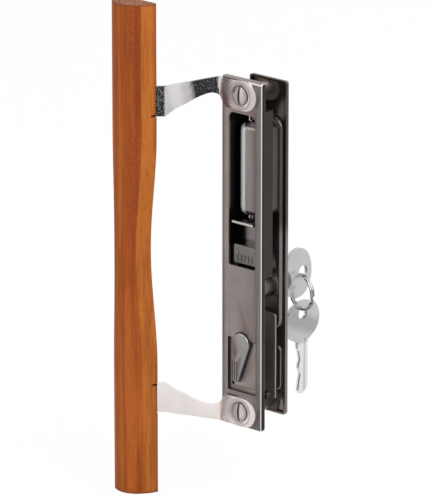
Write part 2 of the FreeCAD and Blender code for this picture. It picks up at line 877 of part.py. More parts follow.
def wafer_starts():
    """Y of each wafer's inner face, from the inside out."""
    return [wafer_first + i * wafer_pitch for i in range(wafer_count)]


def blade_space(play, y0, y1):
    """Space of the key's blade between two depths, opened by a clearance."""
    half = key_blade_half + play
    return block(
        cylinder_x - key_thickness / 2 - play, cylinder_x + key_thickness / 2 + play, y0, y1,
        cylinder_z - half, cylinder_z + half,
    )


def cylinder_plug():
    """Turning plug with a keyway, a slot for each wafer and a grooved tail for the cam."""
    x, z = cylinder_x, cylinder_z
    shape = rod(plug_radius, x, z, plug_end, collar_end)
    shape = shape.fuse(rod(plug_front_radius, x, z, collar_end - plug_shoulder + plug_fit, collar_end))
    shape = shape.cut(blade_space(keyway_play, plug_end + keyway_end_wall, collar_end))
    for y in wafer_starts():
        shape = shape.cut(wafer_space(y, wafer_play))
    y0 = plug_clip_back - plug_clip_thickness
    ring = rod(plug_radius, x, z, y0, plug_clip_back)
    ring = ring.cut(rod(plug_radius - plug_clip_groove, x, z, y0, plug_clip_back))
    return shape.cut(ring).removeSplitter()


def wafer_space(y, play):
    """Block of one wafer, opened by a clearance."""
    return block(
        cylinder_x - wafer_width / 2 - play, cylinder_x + wafer_width / 2 + play,
        y - play, y + wafer_thickness + play,
        cylinder_z - wafer_height / 2 - play, cylinder_z + wafer_height / 2 + play,
    )


def wafer_tumblers():
    """Five wafers in the plug, each with a window round the blade."""
    window = blade_space(keyway_play, 0, collar_end)
    plug = rod(plug_radius - plug_fit, cylinder_x, cylinder_z, barrel_inner_end, collar_end)
    return Part.makeCompound([wafer_space(y, 0).cut(window).common(plug) for y in wafer_starts()])


def lock_cam():
    """Cam pressed on the plug's tail, its finger upright at rest."""
    x, z = cylinder_x, cylinder_z
    half = cam_finger_width / 2
    shape = rod(cam_radius, x, z, cam_front, cam_back)
    shape = shape.fuse(block(x - half, x + half, cam_front, cam_back, z, z + cam_reach - half))
    shape = shape.fuse(rod(half, x, z + cam_reach - half, cam_front, cam_back))
    return shape.cut(rod(plug_radius, x, z, cam_front, cam_back)).removeSplitter()


def plug_clip():
    """Snap ring on the plug's tail that holds the cam and the plug in place."""
    x, z = cylinder_x, cylinder_z
    y0 = plug_clip_back - plug_clip_thickness
    inner = plug_radius - plug_clip_groove
    shape = rod(plug_clip_radius, x, z, y0, plug_clip_back).cut(rod(inner, x, z, y0, plug_clip_back))
    return shape.cut(block(x, x + plug_clip_radius, y0, plug_clip_back, z - inner / 2, z + inner / 2))


def key_outline():
    """Key seen flat, hanging by its hole at the origin, in Y and Z."""
    neck, half = -key_shoulder, key_blade_half
    (top_y, top_z), (low_y, low_z) = key_bow_upper, key_bow_lower

    def at(y, z):
        return Vector(0, y, z)

    edges = [
        arc(at(-top_y, top_z), at(0, key_head), at(top_y, top_z)),
        arc(at(top_y, top_z), at(key_bow_half, key_bow_side), at(low_y, low_z)),
        arc(at(-low_y, low_z), at(-key_bow_half, key_bow_side), at(-top_y, top_z)),
    ]
    blade = [at(low_y, low_z), at(half, neck)]
    blade += [at(y, neck - key_blade_length + z) for y, z in key_tip]
    for i in reversed(range(len(key_cuts))):
        cut = key_cuts[i]
        middle = neck - key_first_cut - i * key_cut_pitch
        blade += [at(-half + cut, middle - key_cut_flat / 2), at(-half + cut, middle + key_cut_flat / 2)]
    last = neck - key_first_cut + key_cuts[0] + key_cut_flat / 2
    blade += [at(-half, last), at(-half, neck), at(-low_y, low_z)]
    edges += [Part.makeLine(a, b) for a, b in zip(blade, blade[1:])]
    return Part.Face(Part.Wire(Part.__sortEdges__(edges)))


def key_blank():
    """Flat key with cuts on one edge and a milled groove on each face."""
    face = key_outline()
    face.translate(Vector(-key_thickness / 2, 0, 0))
    shape = face.extrude(Vector(key_thickness, 0, 0))
    start = Vector(-key_thickness, 0, 0)
    hole = Part.makeCylinder(key_hole_radius, 2 * key_thickness, start, Vector(1, 0, 0))
    shape = shape.cut(hole)
    for side in (-1, 1):
        x = side * key_thickness / 2
        low, high = sorted((x, x - side * key_groove_depth))
        groove = block(
            low, high, key_groove_width / 2, 1.5 * key_groove_width,
            -key_shoulder - key_blade_length, -key_shoulder + key_groove_width,
        )
        shape = shape.cut(groove)
    return shape


def inserted_key():
    """Key pushed home in the plug, its bow upright."""
    shape = key_blank()
    shape.rotate(Vector(0, 0, 0), Vector(1, 0, 0), -90)
    shape.translate(Vector(cylinder_x, key_hole_y, cylinder_z))
    return shape


def ring_centre_z():
    """Height of the split ring's centre, hanging in the key's hole."""
    inner = ring_radius - ring_wire / 2
    return cylinder_z - key_hole_radius + ring_play - inner


def key_ring():
    """Split ring of two close turns, passing through both keys."""
    ring = close_coil(ring_radius, ring_wire, 2, -ring_wire + coil_bite / 2)
    ring.rotate(Vector(0, 0, 0), Vector(0, 0, 1), ring_turn)
    ring.translate(Vector(cylinder_x, key_hole_y, ring_centre_z()))
    return ring


def spare_key():
    """Second key, hanging from the ring."""
    inner = ring_radius - ring_wire / 2
    shape = key_blank()
    shape.translate(Vector(cylinder_x, key_hole_y, ring_centre_z() - inner + ring_play - key_hole_radius))
    return shape


def main():
    """Build and write every sub-part."""
    os.makedirs("parts", exist_ok=True)
    save("interior_plate", inside_plate())
    save("exterior_plate", outside_plate())
    save("wood_pull", wood_pull())
    for name, sign in (("upper", 1), ("lower", -1)):
        save(name + "_bracket", bracket(sign))
        save(name + "_through_screw", through_screw(sign))
        save(name + "_threaded_post", post(sign))
        save(name + "_wood_screw", wood_screw(sign))
    save("thumb_lever", thumb_lever())
    save("lever_spindle", lever_spindle())
    save("spindle_clip", spindle_clip())
    save("hook_bolt", hook_bolt())
    save("crank_pin", crank_pin())
    save("torsion_spring", torsion_spring())
    save("lock_case", lock_case())
    save("thumb_slide", thumb_slide())
    save("indicator_flag", indicator_flag())
    save("slide_link", slide_link())
    save("link_rivet", link_rivet())
    save("slide_guide", slide_guide())
    save("cylinder_body", cylinder_body())
    save("cylinder_clip", cylinder_clip())
    save("cylinder_plug", cylinder_plug())
    save("wafer_tumblers", wafer_tumblers())
    save("lock_cam", lock_cam())
    save("plug_clip", plug_clip())
    save("inserted_key", inserted_key())
    save("key_ring", key_ring())
    save("spare_key", spare_key())


main()
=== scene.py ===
"""Looks of the sliding patio door handle: wooden pull, bent brackets, flush plates, lock and keys."""
import logging
import math
from dataclasses import dataclass
from enum import Enum
from typing import Callable, Iterable, Sequence

import bpy
from mathutils import Matrix, Vector

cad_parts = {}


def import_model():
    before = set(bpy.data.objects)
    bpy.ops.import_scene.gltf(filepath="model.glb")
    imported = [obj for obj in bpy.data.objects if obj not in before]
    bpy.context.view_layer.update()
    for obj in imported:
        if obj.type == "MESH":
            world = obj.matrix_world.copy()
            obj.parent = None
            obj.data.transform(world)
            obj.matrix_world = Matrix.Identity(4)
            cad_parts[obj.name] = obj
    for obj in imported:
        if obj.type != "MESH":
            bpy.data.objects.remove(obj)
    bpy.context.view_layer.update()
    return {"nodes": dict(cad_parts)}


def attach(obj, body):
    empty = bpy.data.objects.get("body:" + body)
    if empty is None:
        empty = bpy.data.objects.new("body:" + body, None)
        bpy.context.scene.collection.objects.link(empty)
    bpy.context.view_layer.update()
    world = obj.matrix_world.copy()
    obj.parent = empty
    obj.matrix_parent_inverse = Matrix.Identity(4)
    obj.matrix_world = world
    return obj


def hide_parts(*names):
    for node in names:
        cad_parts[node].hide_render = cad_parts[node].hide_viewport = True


LOG = logging.getLogger("handle")
Point = tuple[float, float]
Colour = tuple[float, float, float]
Tint = tuple["Num | float", Colour]

MM = 0.001
SCREW_Z = 84.15  # height of the two through screws above and below the middle, in millimetres
CYLINDER = (1.2, -19.9)  # X and Z of the lock cylinder's axis, in millimetres
ENDS = (("upper", 1), ("lower", -1))
WHITE = (1.0, 1.0, 1.0, 1.0)


# Shader trees

class Num:
    """A number in a shader tree; arithmetic on it adds Math nodes."""

    def __init__(self, shader: "Shader", socket: bpy.types.NodeSocket) -> None:
        """Wrap one output socket of the shader."""
        self.shader = shader
        self.socket = socket

    def _join(self, operation: str, *values: "Num | float") -> "Num":
        """Add a Math node.

        Args:
            operation: Blender's name of the operation.
            values: its operands, in order.

        Returns:
            The node's value.
        """
        node = self.shader.node("ShaderNodeMath", {"operation": operation}, dict(enumerate(values)))
        return Num(self.shader, node.outputs[0])

    def __add__(self, other: "Num | float") -> "Num":
        """Sum."""
        return self._join("ADD", self, other)

    __radd__ = __add__

    def __mul__(self, other: "Num | float") -> "Num":
        """Product."""
        return self._join("MULTIPLY", self, other)

    __rmul__ = __mul__

    def __sub__(self, other: "Num | float") -> "Num":
        """Difference."""
        return self._join("SUBTRACT", self, other)

    def __rsub__(self, other: "Num | float") -> "Num":
        """Difference with the number on the left."""
        return self._join("SUBTRACT", other, self)

    def __pow__(self, other: "Num | float") -> "Num":
        """Power."""
        return self._join("POWER", self, other)

    def wave(self) -> "Num":
        """Sine, moved to run from 0 to 1."""
        return self._join("SINE", self) * 0.5 + 0.5

    def above(self, low: float, high: float) -> "Num":
        """Soft step.

        Args:
            low: value below which the step is 0.
            high: value above which it is 1. It may be less than low for a falling step.

        Returns:
            The smooth step.
        """
        settings = {"interpolation_type": "SMOOTHSTEP"}
        values = {0: self, 1: low, 2: high, 3: 0.0, 4: 1.0}
        return Num(self.shader, self.shader.node("ShaderNodeMapRange", settings, values).outputs[0])

    def within(self, rise: Point, fall: Point) -> "Num":
        """Soft band.

        Args:
            rise: values between which it rises from 0 to 1.
            fall: higher values between which it falls back to 0.

        Returns:
            The band.
        """
        return self.above(*rise) * self.above(fall[1], fall[0])


class Shader:
    """A material whose tree is written as expressions."""

    def __init__(self, name: str) -> None:
        """Start a material with a Principled shader."""
        self.material = bpy.data.materials.new(name)
        self.material.use_nodes = True
        self.tree = self.material.node_tree
        self.surface = self.tree.nodes["Principled BSDF"]
        self.place = self.node("ShaderNodeTexCoord", {}, {}).outputs["Object"]

    def node(self, kind: str, settings: dict, values: dict) -> bpy.types.Node:
        """Add a node.

        Args:
            kind: Blender's name of the node.
            settings: its properties, set first.
            values: numbers, colours or links for its inputs, by index or name.

        Returns:
            The node.
        """
        node = self.tree.nodes.new(kind)
        for key, value in settings.items():
            setattr(node, key, value)
        for key, value in values.items():
            self.feed(node.inputs[key], value)
        return node

    def feed(self, entry: bpy.types.NodeSocket, value: object) -> None:
        """Link a value to an input, or set it there.

        Args:
            entry: the input.
            value: a Num, a socket, or a plain number, vector or colour.
        """
        if isinstance(value, Num):
            value = value.socket
        if isinstance(value, bpy.types.NodeSocket):
            self.tree.links.new(value, entry)
        else:
            entry.default_value = value

    def set(self, **values: object) -> None:
        """Feed the surface's inputs, named with underscores for spaces."""
        for key, value in values.items():
            self.feed(self.surface.inputs[key.replace("_", " ")], value)

    def axes(self) -> tuple[Num, Num, Num]:
        """The three object coordinates, in metres."""
        split = self.node("ShaderNodeSeparateXYZ", {}, {0: self.place})
        return tuple(Num(self, output) for output in split.outputs)

    def from_screw(self) -> Num:
        """Distance, in X and Z, from the nearer through screw's axis."""
        x, _, z = self.axes()
        up = (z * z) ** 0.5 - SCREW_Z * MM
        return (x * x + up * up) ** 0.5

    def noise(self, scale: Sequence[float], detail: float = 3.0, rough: float = 0.55, bend: float = 0.0) -> Num:
        """Noise on stretched object coordinates.

        Args:
            scale: features per metre on each axis.
            detail: octaves.
            rough: share of the finer octaves.
            bend: distortion.

        Returns:
            The noise, about 0.5 on average.
        """
        stretched = self.node("ShaderNodeMapping", {}, {"Vector": self.place, "Scale": tuple(scale)})
        values = {"Vector": stretched.outputs[0], "Scale": 1.0, "Detail": detail, "Roughness": rough, "Distortion": bend}
        return Num(self, self.node("ShaderNodeTexNoise", {}, values).outputs["Fac"])

    def blend(self, share: "Num | float", first: object, second: object) -> bpy.types.NodeSocket:
        """Mix two colours.

        Args:
            share: 0 for the first colour, 1 for the second.
            first: a colour, or the socket of one.
            second: a colour, or the socket of one.

        Returns:
            The socket of the mixed colour.
        """
        first, second = ((*c, 1.0) if isinstance(c, tuple) else c for c in (first, second))
        return self.node("ShaderNodeMix", {"data_type": "RGBA"}, {0: share, 6: first, 7: second}).outputs[2]

    def layered(self, base: bpy.types.NodeSocket, *layers: Tint) -> bpy.types.NodeSocket:
        """Lay colours over a base.

        Args:
            base: the colour below.
            layers: the share and colour of each layer, the lowest first.

        Returns:
            The socket of the result.
        """
        for share, colour in layers:
            base = self.blend(share, base, colour)
        return base

    def bump(self, height: Num, distance: float, strength: float = 1.0) -> None:
        """Let a height in shares of a distance, in metres, tilt the surface's normal."""
        values = {"Height": height, "Distance": distance, "Strength": strength}
        self.set(Normal=self.node("ShaderNodeBump", {}, values).outputs[0])


# Finishes. Places in them are in metres, and a pair of places is where a soft step starts and ends.

@dataclass(frozen=True)
class StainedWood:
    """Softwood with a red-brown stain under satin varnish, its grain along Z."""

    light: Colour = (0.435, 0.112, 0.016)
    middle: Colour = (0.335, 0.078, 0.010)
    dark: Colour = (0.170, 0.030, 0.004)
    pale: Colour = (0.490, 0.155, 0.025)
    band: Colour = (0.250, 0.043, 0.009)
    end_grain: Colour = (0.36, 0.24, 0.17)
    pith: Point = (-0.070, -0.012)
    ring_pitch: float = 0.0042
    ridge: float = -0.0334
    right_rim: Point = (-0.0369, -0.0364)
    left_rim: Point = (-0.0500, -0.0510)
    end_rim: Point = (0.1286, 0.1296)
    end_face: Point = (0.12965, 0.12995)
    roughness: float = 0.48

    def rings(self, s: Shader) -> Num:
        """Growth rings round the pith, wavering along the grain."""
        x, y, _ = s.axes()
        drift = s.noise((14, 14, 5), 2.0) - 0.5
        across, deep = x - self.pith[0] + drift * 0.008, y - self.pith[1]
        radius = (across * across + deep * deep) ** 0.5
        waver = (s.noise((60, 60, 9), 3.0) - 0.5) * 7.0
        return (radius * (2 * math.pi / self.ring_pitch) + waver).wave() ** 1.6

    def build(self, name: str) -> bpy.types.Material:
        """Make the material: growth rings, pores, a stained band beside the ridge and pale sanded ends.

        Args:
            name: its name.

        Returns:
            The material.
        """
        s = Shader(name)
        x, y, z = s.axes()
        streaks = s.noise((420, 420, 11), 4.0, 0.6, 0.3)
        fibres = s.noise((2600, 2600, 60), 2.0, 0.6)
        patches = s.noise((70, 70, 13), 3.0, 0.6)
        pores = s.noise((1900, 1900, 130), 1.0, 0.5).above(0.66, 0.76)
        fleck = s.noise((2300, 2300, 1000), 2.0, 0.7)
        speck = s.noise((1500, 1500, 1500), 2.0, 0.7)
        tone = self.rings(s) * 0.34 + streaks * 0.55 + patches * 0.5 - 0.22
        # The faces behind the ridge are painted paler: partly painted light from the right, partly the wood's own paler
        # tone.
        side = y.above(self.ridge - 0.0006, self.ridge + 0.0003)
        beside = (y + (patches - 0.5) * 0.004).above(self.ridge - 0.0066, self.ridge - 0.0022) * (1.0 - side)
        stain = beside * x.above(-0.050, -0.046) * (z.above(-0.010, 0.020) * 0.75 + 0.25)
        squared = z * z
        rim = x.above(*self.right_rim) + x.above(*self.left_rim) * 0.7
        rim = rim + squared.above(*(place ** 2 for place in self.end_rim))
        end = squared.above(*(place ** 2 for place in self.end_face))
        colour = s.layered(
            s.blend(tone.above(0.22, 0.56), self.light, self.middle),
            (side * (0.35 + streaks * 0.6), self.pale),
            (stain * (0.50 + streaks * 0.5), self.band),
            (stain * fleck.above(0.52, 0.60) * 0.40, self.dark),
            (stain * fleck.above(0.44, 0.38) * 0.45, self.pale),
            ((streaks * 0.6 + patches * 0.5).above(0.54, 0.70) * 0.45, self.dark),
            (fibres.above(0.45, 0.70) * 0.35, self.dark),
            (fleck.above(0.56, 0.66) * 0.25, self.dark),
            (pores * 0.50, self.dark),
            (rim * 0.45, self.dark),
        )
        sawn = s.blend(speck.above(0.46, 0.60), self.dark, self.end_grain)
        s.set(
            Base_Color=s.blend(end * 0.85, colour, sawn), Roughness=self.roughness + fibres * 0.12 + end * 0.2,
            Coat_Weight=0.03, Coat_Roughness=0.3, Specular_IOR_Level=0.12,
        )
        s.bump(fibres * 0.6 + streaks * 0.4 - pores * 0.7, 0.00012, 0.55)
        return s.material


@dataclass(frozen=True)
class Metal:
    """Plated, painted or bare metal with fine brushing, smudges and spots of wear."""

    colour: Colour
    shade: Colour
    roughness: float = 0.2
    metallic: float = 1.0
    brush: tuple[float, float, float] = (900.0, 900.0, 30.0)
    brush_share: float = 0.25
    speckle: float = 0.0
    ripple: float = 0.0
    coat: float = 0.0

    def build(self, name: str) -> bpy.types.Material:
        """Make the material of this finish.

        Args:
            name: its name.

        Returns:
            The material.
        """
        s = Shader(name)
        lines = s.noise(self.brush, 3.0, 0.6)
        mottle_and_reflection = s.noise((55, 55, 55), 3.0, 0.6)
        grit = s.noise((1300, 1300, 1300), 2.0, 0.6)
        wave = s.noise((95, 95, 60), 2.0, 0.5)
        mark = s.noise((260, 260, 260), 4.0, 0.7).above(0.64, 0.74)
        tone = (lines - 0.5) * self.brush_share + (mottle_and_reflection - 0.5) * 0.9 + 0.45
        colour = s.blend(tone.above(0.0, 1.0), self.colour, self.shade)
        colour = s.blend(grit.above(0.52, 0.70) * self.speckle + mark * 0.18, colour, self.shade)
        rough = (lines - 0.5) * (0.35 * self.brush_share) + (mottle_and_reflection - 0.5) * 0.10 + mark * 0.06 + self.roughness
        s.set(
            Base_Color=self.tint(s, colour), Metallic=self.metallic, Roughness=self.matte(s, rough),
            Coat_Weight=self.coat, Coat_Roughness=0.12,
        )
        s.bump(lines * (0.25 * self.brush_share) + grit * 0.04 + wave * self.ripple, 0.0002, 0.6)
        return s.material

    def tint(self, s: Shader, colour: bpy.types.NodeSocket) -> bpy.types.NodeSocket:
        """Hook for finishes whose colour varies over their piece."""
        return colour

    def matte(self, s: Shader, rough: Num) -> Num:
        """Hook for finishes whose roughness varies over their piece."""
        return rough

    def shade_of(self, share: float) -> Colour:
        """Darker relative of this finish's shade."""
        return tuple(part * share for part in self.shade)


@dataclass(frozen=True)
class Pressed(Metal):
    """Satin plating on a pressed plate, with painted shade to the right, low down, in the lever's recess and on the
    right flank, painted light on the tongue and a painted highlight along its folds.
    """

    # The colour settings below paint light and shade: a share of painted shade to the right and low down, painted light
    # for the tongue, a painted highlight for the folds and near-black painted shade for the recess.
    dim: float = 0.62
    tongue: Colour = (0.42, 0.40, 0.395)
    painted_highlight: Colour = (0.86, 0.84, 0.83)
    hollow: Colour = (0.012, 0.011, 0.011)
    right_side: Point = (-0.004, 0.016)
    low_end: Point = (-0.048, -0.085)
    front: Point = (-0.0020, -0.0023)
    sunk: Point = (-0.0022, -0.0019)
    recess_top: Point = (-0.0450, -0.0456)
    tongue_left: Point = (-0.0054, -0.0051)
    tongue_low: Point = (-0.0710, -0.0707)
    flank: Point = (0.01318, 0.01330)

    def tint(self, s: Shader, colour: bpy.types.NodeSocket) -> bpy.types.NodeSocket:
        """Paint shade on the right side, the low end, the recess and the right flank, paint light on the tongue, and
        paint a highlight along the folds.

        Args:
            s: the shader.
            colour: the metal's own colour.

        Returns:
            The tinted colour.
        """
        x, y, z = s.axes()
        drift = s.noise((40, 40, 25), 2.0) * 0.006
        # Painted shade, stronger to the right and low down.
        shade_ramp = (x + drift).above(*self.right_side) * 0.65 + z.above(*self.low_end) * 0.35
        inset = y.above(*self.sunk) * z.above(*self.recess_top)
        kept = x.above(*self.tongue_left) * z.above(*self.tongue_low)
        fold = x.within((0.01255, 0.01275), (0.01305, 0.01325))
        crest = z.within((0.0908, 0.0911), (0.0916, 0.0919)) * x.above(-0.002, 0.004)
        return s.layered(
            colour,
            # painted shade to the right and low down
            (shade_ramp * self.dim, self.shade_of(0.35)),
            # painted light on the tongue
            (inset * kept * 0.8, self.tongue),
            # near-black painted shade in the rest of the lever's recess
            (inset * (1.0 - kept), self.hollow),
            # painted highlight along the right fold and the top crest
            ((fold + crest) * y.above(*self.front) * (0.75 + drift * 60.0), self.painted_highlight),
            # painted shade on the right flank
            (x.above(*self.flank) * 0.95, self.shade_of(0.12)),
        )


@dataclass(frozen=True)
class Drawn(Metal):
    """Polished plating on drawn steel, dark all over but for a painted reflection on the trough's floor, painted light
    low on the inner floor and a painted highlight along the trough's left edge.
    """

    floor: float = 0.0062
    bend: Point = (0.0635, 0.0695)
    # Lighter tone for the painted reflection on the trough's floor and the painted light low on the inner floor.
    painted_light: Colour = (0.300, 0.275, 0.270)
    # Colour of the painted highlight along the trough's left edge.
    edge: Colour = (0.97, 0.97, 1.0)

    def highlight_line(self, s: Shader) -> Num:
        """Painted highlight along the left edge of the trough's floor, leaning left at its top."""
        x, y, z = s.axes()
        at = x + z.above(*self.bend) * 0.0030
        return y.above(self.floor + 0.001, self.floor - 0.001) * at.within((-0.0072, -0.0058), (-0.0040, -0.0022))

    def tint(self, s: Shader, colour: bpy.types.NodeSocket) -> bpy.types.NodeSocket:
        """Paint a reflection on the trough's floor, fading to the right, a highlight along its left edge, and light on
        the plate below it.

        Args:
            s: the shader.
            colour: the metal's own colour.

        Returns:
            The tinted colour.
        """
        x, y, z = s.axes()
        # Painted reflection on the trough's floor, fading to the right, and painted light on the inner floor low down.
        low = y.above(self.floor, self.floor - 0.0018) * x.above(0.0075, -0.0035)
        below = z.above(0.016, 0.006) * y.above(0.0140, 0.0150)
        return s.layered(colour, (low, self.painted_light), (below * 0.5, self.painted_light), (self.highlight_line(s), self.edge))

    def matte(self, s: Shader, rough: Num) -> Num:
        """Rougher along the painted highlight, so that it gathers more light."""
        return rough + self.highlight_line(s) * 0.36


@dataclass(frozen=True)
class Carriage(Metal):
    """Plating of the slide, with painted light on its ledge and near-black painted shade in its left recess."""

    # Painted light for the ledge and near-black painted shade for the left recess.
    ledge: Colour = (0.48, 0.465, 0.465)
    shade_black: Colour = (0.020, 0.018, 0.018)

    def tint(self, s: Shader, colour: bpy.types.NodeSocket) -> bpy.types.NodeSocket:
        """Paint light on what stands forward and shade in the left recess.

        Args:
            s: the shader.
            colour: the metal's own colour.

        Returns:
            The tinted colour.
        """
        x, y, _ = s.axes()
        # Painted light on the forward ledge and painted shade in the left recess.
        forward = y.above(0.0002, -0.0006) * x.above(-0.0072, -0.0064)
        hollow = y.above(0.0002, 0.0008) * x.above(-0.0022, -0.0048)
        return s.layered(colour, (forward, self.ledge), (hollow * 0.9, self.shade_black))


@dataclass(frozen=True)
class Blank(Metal):
    """Nickel plating of a key, with a painted highlight on the blade and a painted dark reflection across the bow."""

    # A lighter colour painted on the blade as a highlight, and a darker one painted across the bow as a dark
    # reflection.
    painted_highlight: Colour = (0.80, 0.79, 0.785)
    mottle_and_reflection: Colour = (0.33, 0.325, 0.325)

    def tint(self, s: Shader, colour: bpy.types.NodeSocket) -> bpy.types.NodeSocket:
        """Paint a highlight on the hanging blade and a dark reflection across the bow below its hole.

        Args:
            s: the shader.
            colour: the metal's own colour.

        Returns:
            The tinted colour.
        """
        _, y, z = s.axes()
        lean = z + (y - 0.0433) * 0.5 + (s.noise((160, 160, 160), 2.0) - 0.5) * 0.004
        dark_reflection = lean.within((-0.0560, -0.0490), (-0.0450, -0.0400))
        return s.layered(colour, (dark_reflection * 0.75, self.mottle_and_reflection), (z.above(-0.0575, -0.0600) * 0.9, self.painted_highlight))


@dataclass(frozen=True)
class Guide(Metal):
    """Dark plating, with near-black painted shade on the wall towards the pull."""

    # Near-black painted shade for the wall towards the pull.
    black: Colour = (0.010, 0.010, 0.010)

    def tint(self, s: Shader, colour: bpy.types.NodeSocket) -> bpy.types.NodeSocket:
        """Paint near-black shade on the left wall."""
        return s.blend(s.axes()[0].above(0.001, -0.001), colour, self.black)


@dataclass(frozen=True)
class Strap(Metal):
    """Bright plating on a bent strap, darker on its pad, with painted shade and a painted highlight round the screw's
    seat and painted dark reflections on the pad and, where chosen, on its arm.
    """

    pad_share: float = 0.85
    # Share of the painted dark reflection on the pad's left, and whether the arm gets painted dark reflections.
    reflection_share: float = 0.92
    arm_reflection: bool = True
    # Colours below, but for the pad's own darker tone, paint light and shade: near-black painted shade and dark
    # reflection, a mid-tone painted reflection, a dark colour for painted shade and reflection on the pad, and a
    # painted highlight.
    dark: Colour = (0.018, 0.019, 0.022)
    reflection_grey: Colour = (0.36, 0.36, 0.37)
    pad: Colour = (0.60, 0.545, 0.535)
    painted_dark: Colour = (0.115, 0.088, 0.083)
    glint: Colour = (0.95, 0.93, 0.92)
    pad_end: Point = (-0.0125, -0.0110)
    # End of the painted dark reflection on the pad's left.
    reflection_end: Point = (-0.0035, -0.0085)
    arm_end: Point = (-0.0138, -0.0130)

    def tint(self, s: Shader, colour: bpy.types.NodeSocket) -> bpy.types.NodeSocket:
        """Darken the pad, paint a dark reflection on its left, paint shade and a highlight round the screw's seat, and
        paint shade on the pad's flank and, where chosen, dark reflections on the arm.

        Args:
            s: the shader.
            colour: the metal's own colour.

        Returns:
            The tinted colour.
        """
        x, y, _ = s.axes()
        away = s.from_screw()
        at = x + (s.noise((300, 300, 160), 3.0, 0.6) - 0.5) * 0.003
        fleck = s.noise((1500, 1500, 1500), 2.0, 0.7).above(0.54, 0.66)
        on_pad = at.above(*self.pad_end)
        groove = away.within((0.0049, 0.0054), (0.0060, 0.0066))
        lines = away.within((0.0066, 0.0068), (0.0071, 0.0074)) + away.above(0.0053, 0.0051)
        flank = y.above(-0.0041, -0.0038) * on_pad * x.above(-0.0010, -0.0040)
        colour = s.layered(
            colour,
            (on_pad * self.pad_share, self.pad),
            # painted dark reflection on the pad's left
            (on_pad * at.above(*self.reflection_end) * (self.reflection_share - fleck * 0.40), self.painted_dark),
            # painted shade on the left of the seat's groove
            (groove * x.above(0.0040, 0.0010) * 0.55, self.painted_dark),
            # painted highlight on the right of the seat's groove
            (groove * x.above(0.0020, 0.0045) * 0.8, self.glint),
            # painted shade under the head and round the dimple's mouth
            (lines.above(0.0, 1.0) * 0.55 * on_pad, self.painted_dark),
            # painted shade on the pad's flank
            (flank * 0.9, self.dark),
        )
        return s.layered(colour, *self.arm_reflections(s, at, fleck)) if self.arm_reflection else colour

    def arm_reflections(self, s: Shader, at: Num, fleck: Num) -> Sequence[Tint]:
        """Layers of painted dark reflection on the arm.

        Args:
            s: the shader.
            at: X with a little drift.
            fleck: random specks that break up the painted dark zones.

        Returns:
            The mid-tone painted reflection, the dark painted reflection in the middle, and the painted dark reflection
            and shade at the root by the pull.
        """
        x, _, z = s.axes()
        lean = at + (z - 0.0842) * 0.12
        middle = lean.within((-0.0247, -0.0222), self.arm_end)
        dim = lean.within((-0.0290, -0.0250), self.arm_end) * 0.55 + lean.above(-0.0306, -0.0328) * 0.35
        root = x.above(-0.0331, -0.0337)
        # A mid-tone painted reflection, a dark painted reflection in the arm's middle, and a painted dark reflection
        # and shade at the root by the pull.
        return (
            (dim, self.reflection_grey),
            (middle * (0.99 - fleck * 0.35), self.dark),
            (root * (0.99 - fleck * 0.75), self.dark),
        )


@dataclass(frozen=True)
class Head(Metal):
    """Bright plating on a slotted head, with painted shade in the slot and round the rim and a painted dark reflection
    ring on the dome.
    """

    radius: float = 0.0048
    # Colour of the painted shade and of the painted dark reflection ring.
    painted_head_dark: Colour = (0.075, 0.065, 0.062)

    def tint(self, s: Shader, colour: bpy.types.NodeSocket) -> bpy.types.NodeSocket:
        """Paint shade in the slot and round the rim, and a dark reflection ring on the dome.

        Args:
            s: the shader.
            colour: the metal's own colour.

        Returns:
            The tinted colour.
        """
        x, _, _ = s.axes()
        away = s.from_screw()
        # A painted dark reflection ring on the dome, and painted shade round the rim and in the slot.
        ring = away.within((0.0033, 0.0036), (0.0038, 0.0042))
        rim = away.above(self.radius - 0.0006, self.radius - 0.0002)
        slot = (x * x).above(0.00078 ** 2, 0.00060 ** 2)
        return s.layered(colour, (ring * 0.45, self.painted_head_dark), (rim * 0.75, self.painted_head_dark), (slot * 0.85, self.painted_head_dark))


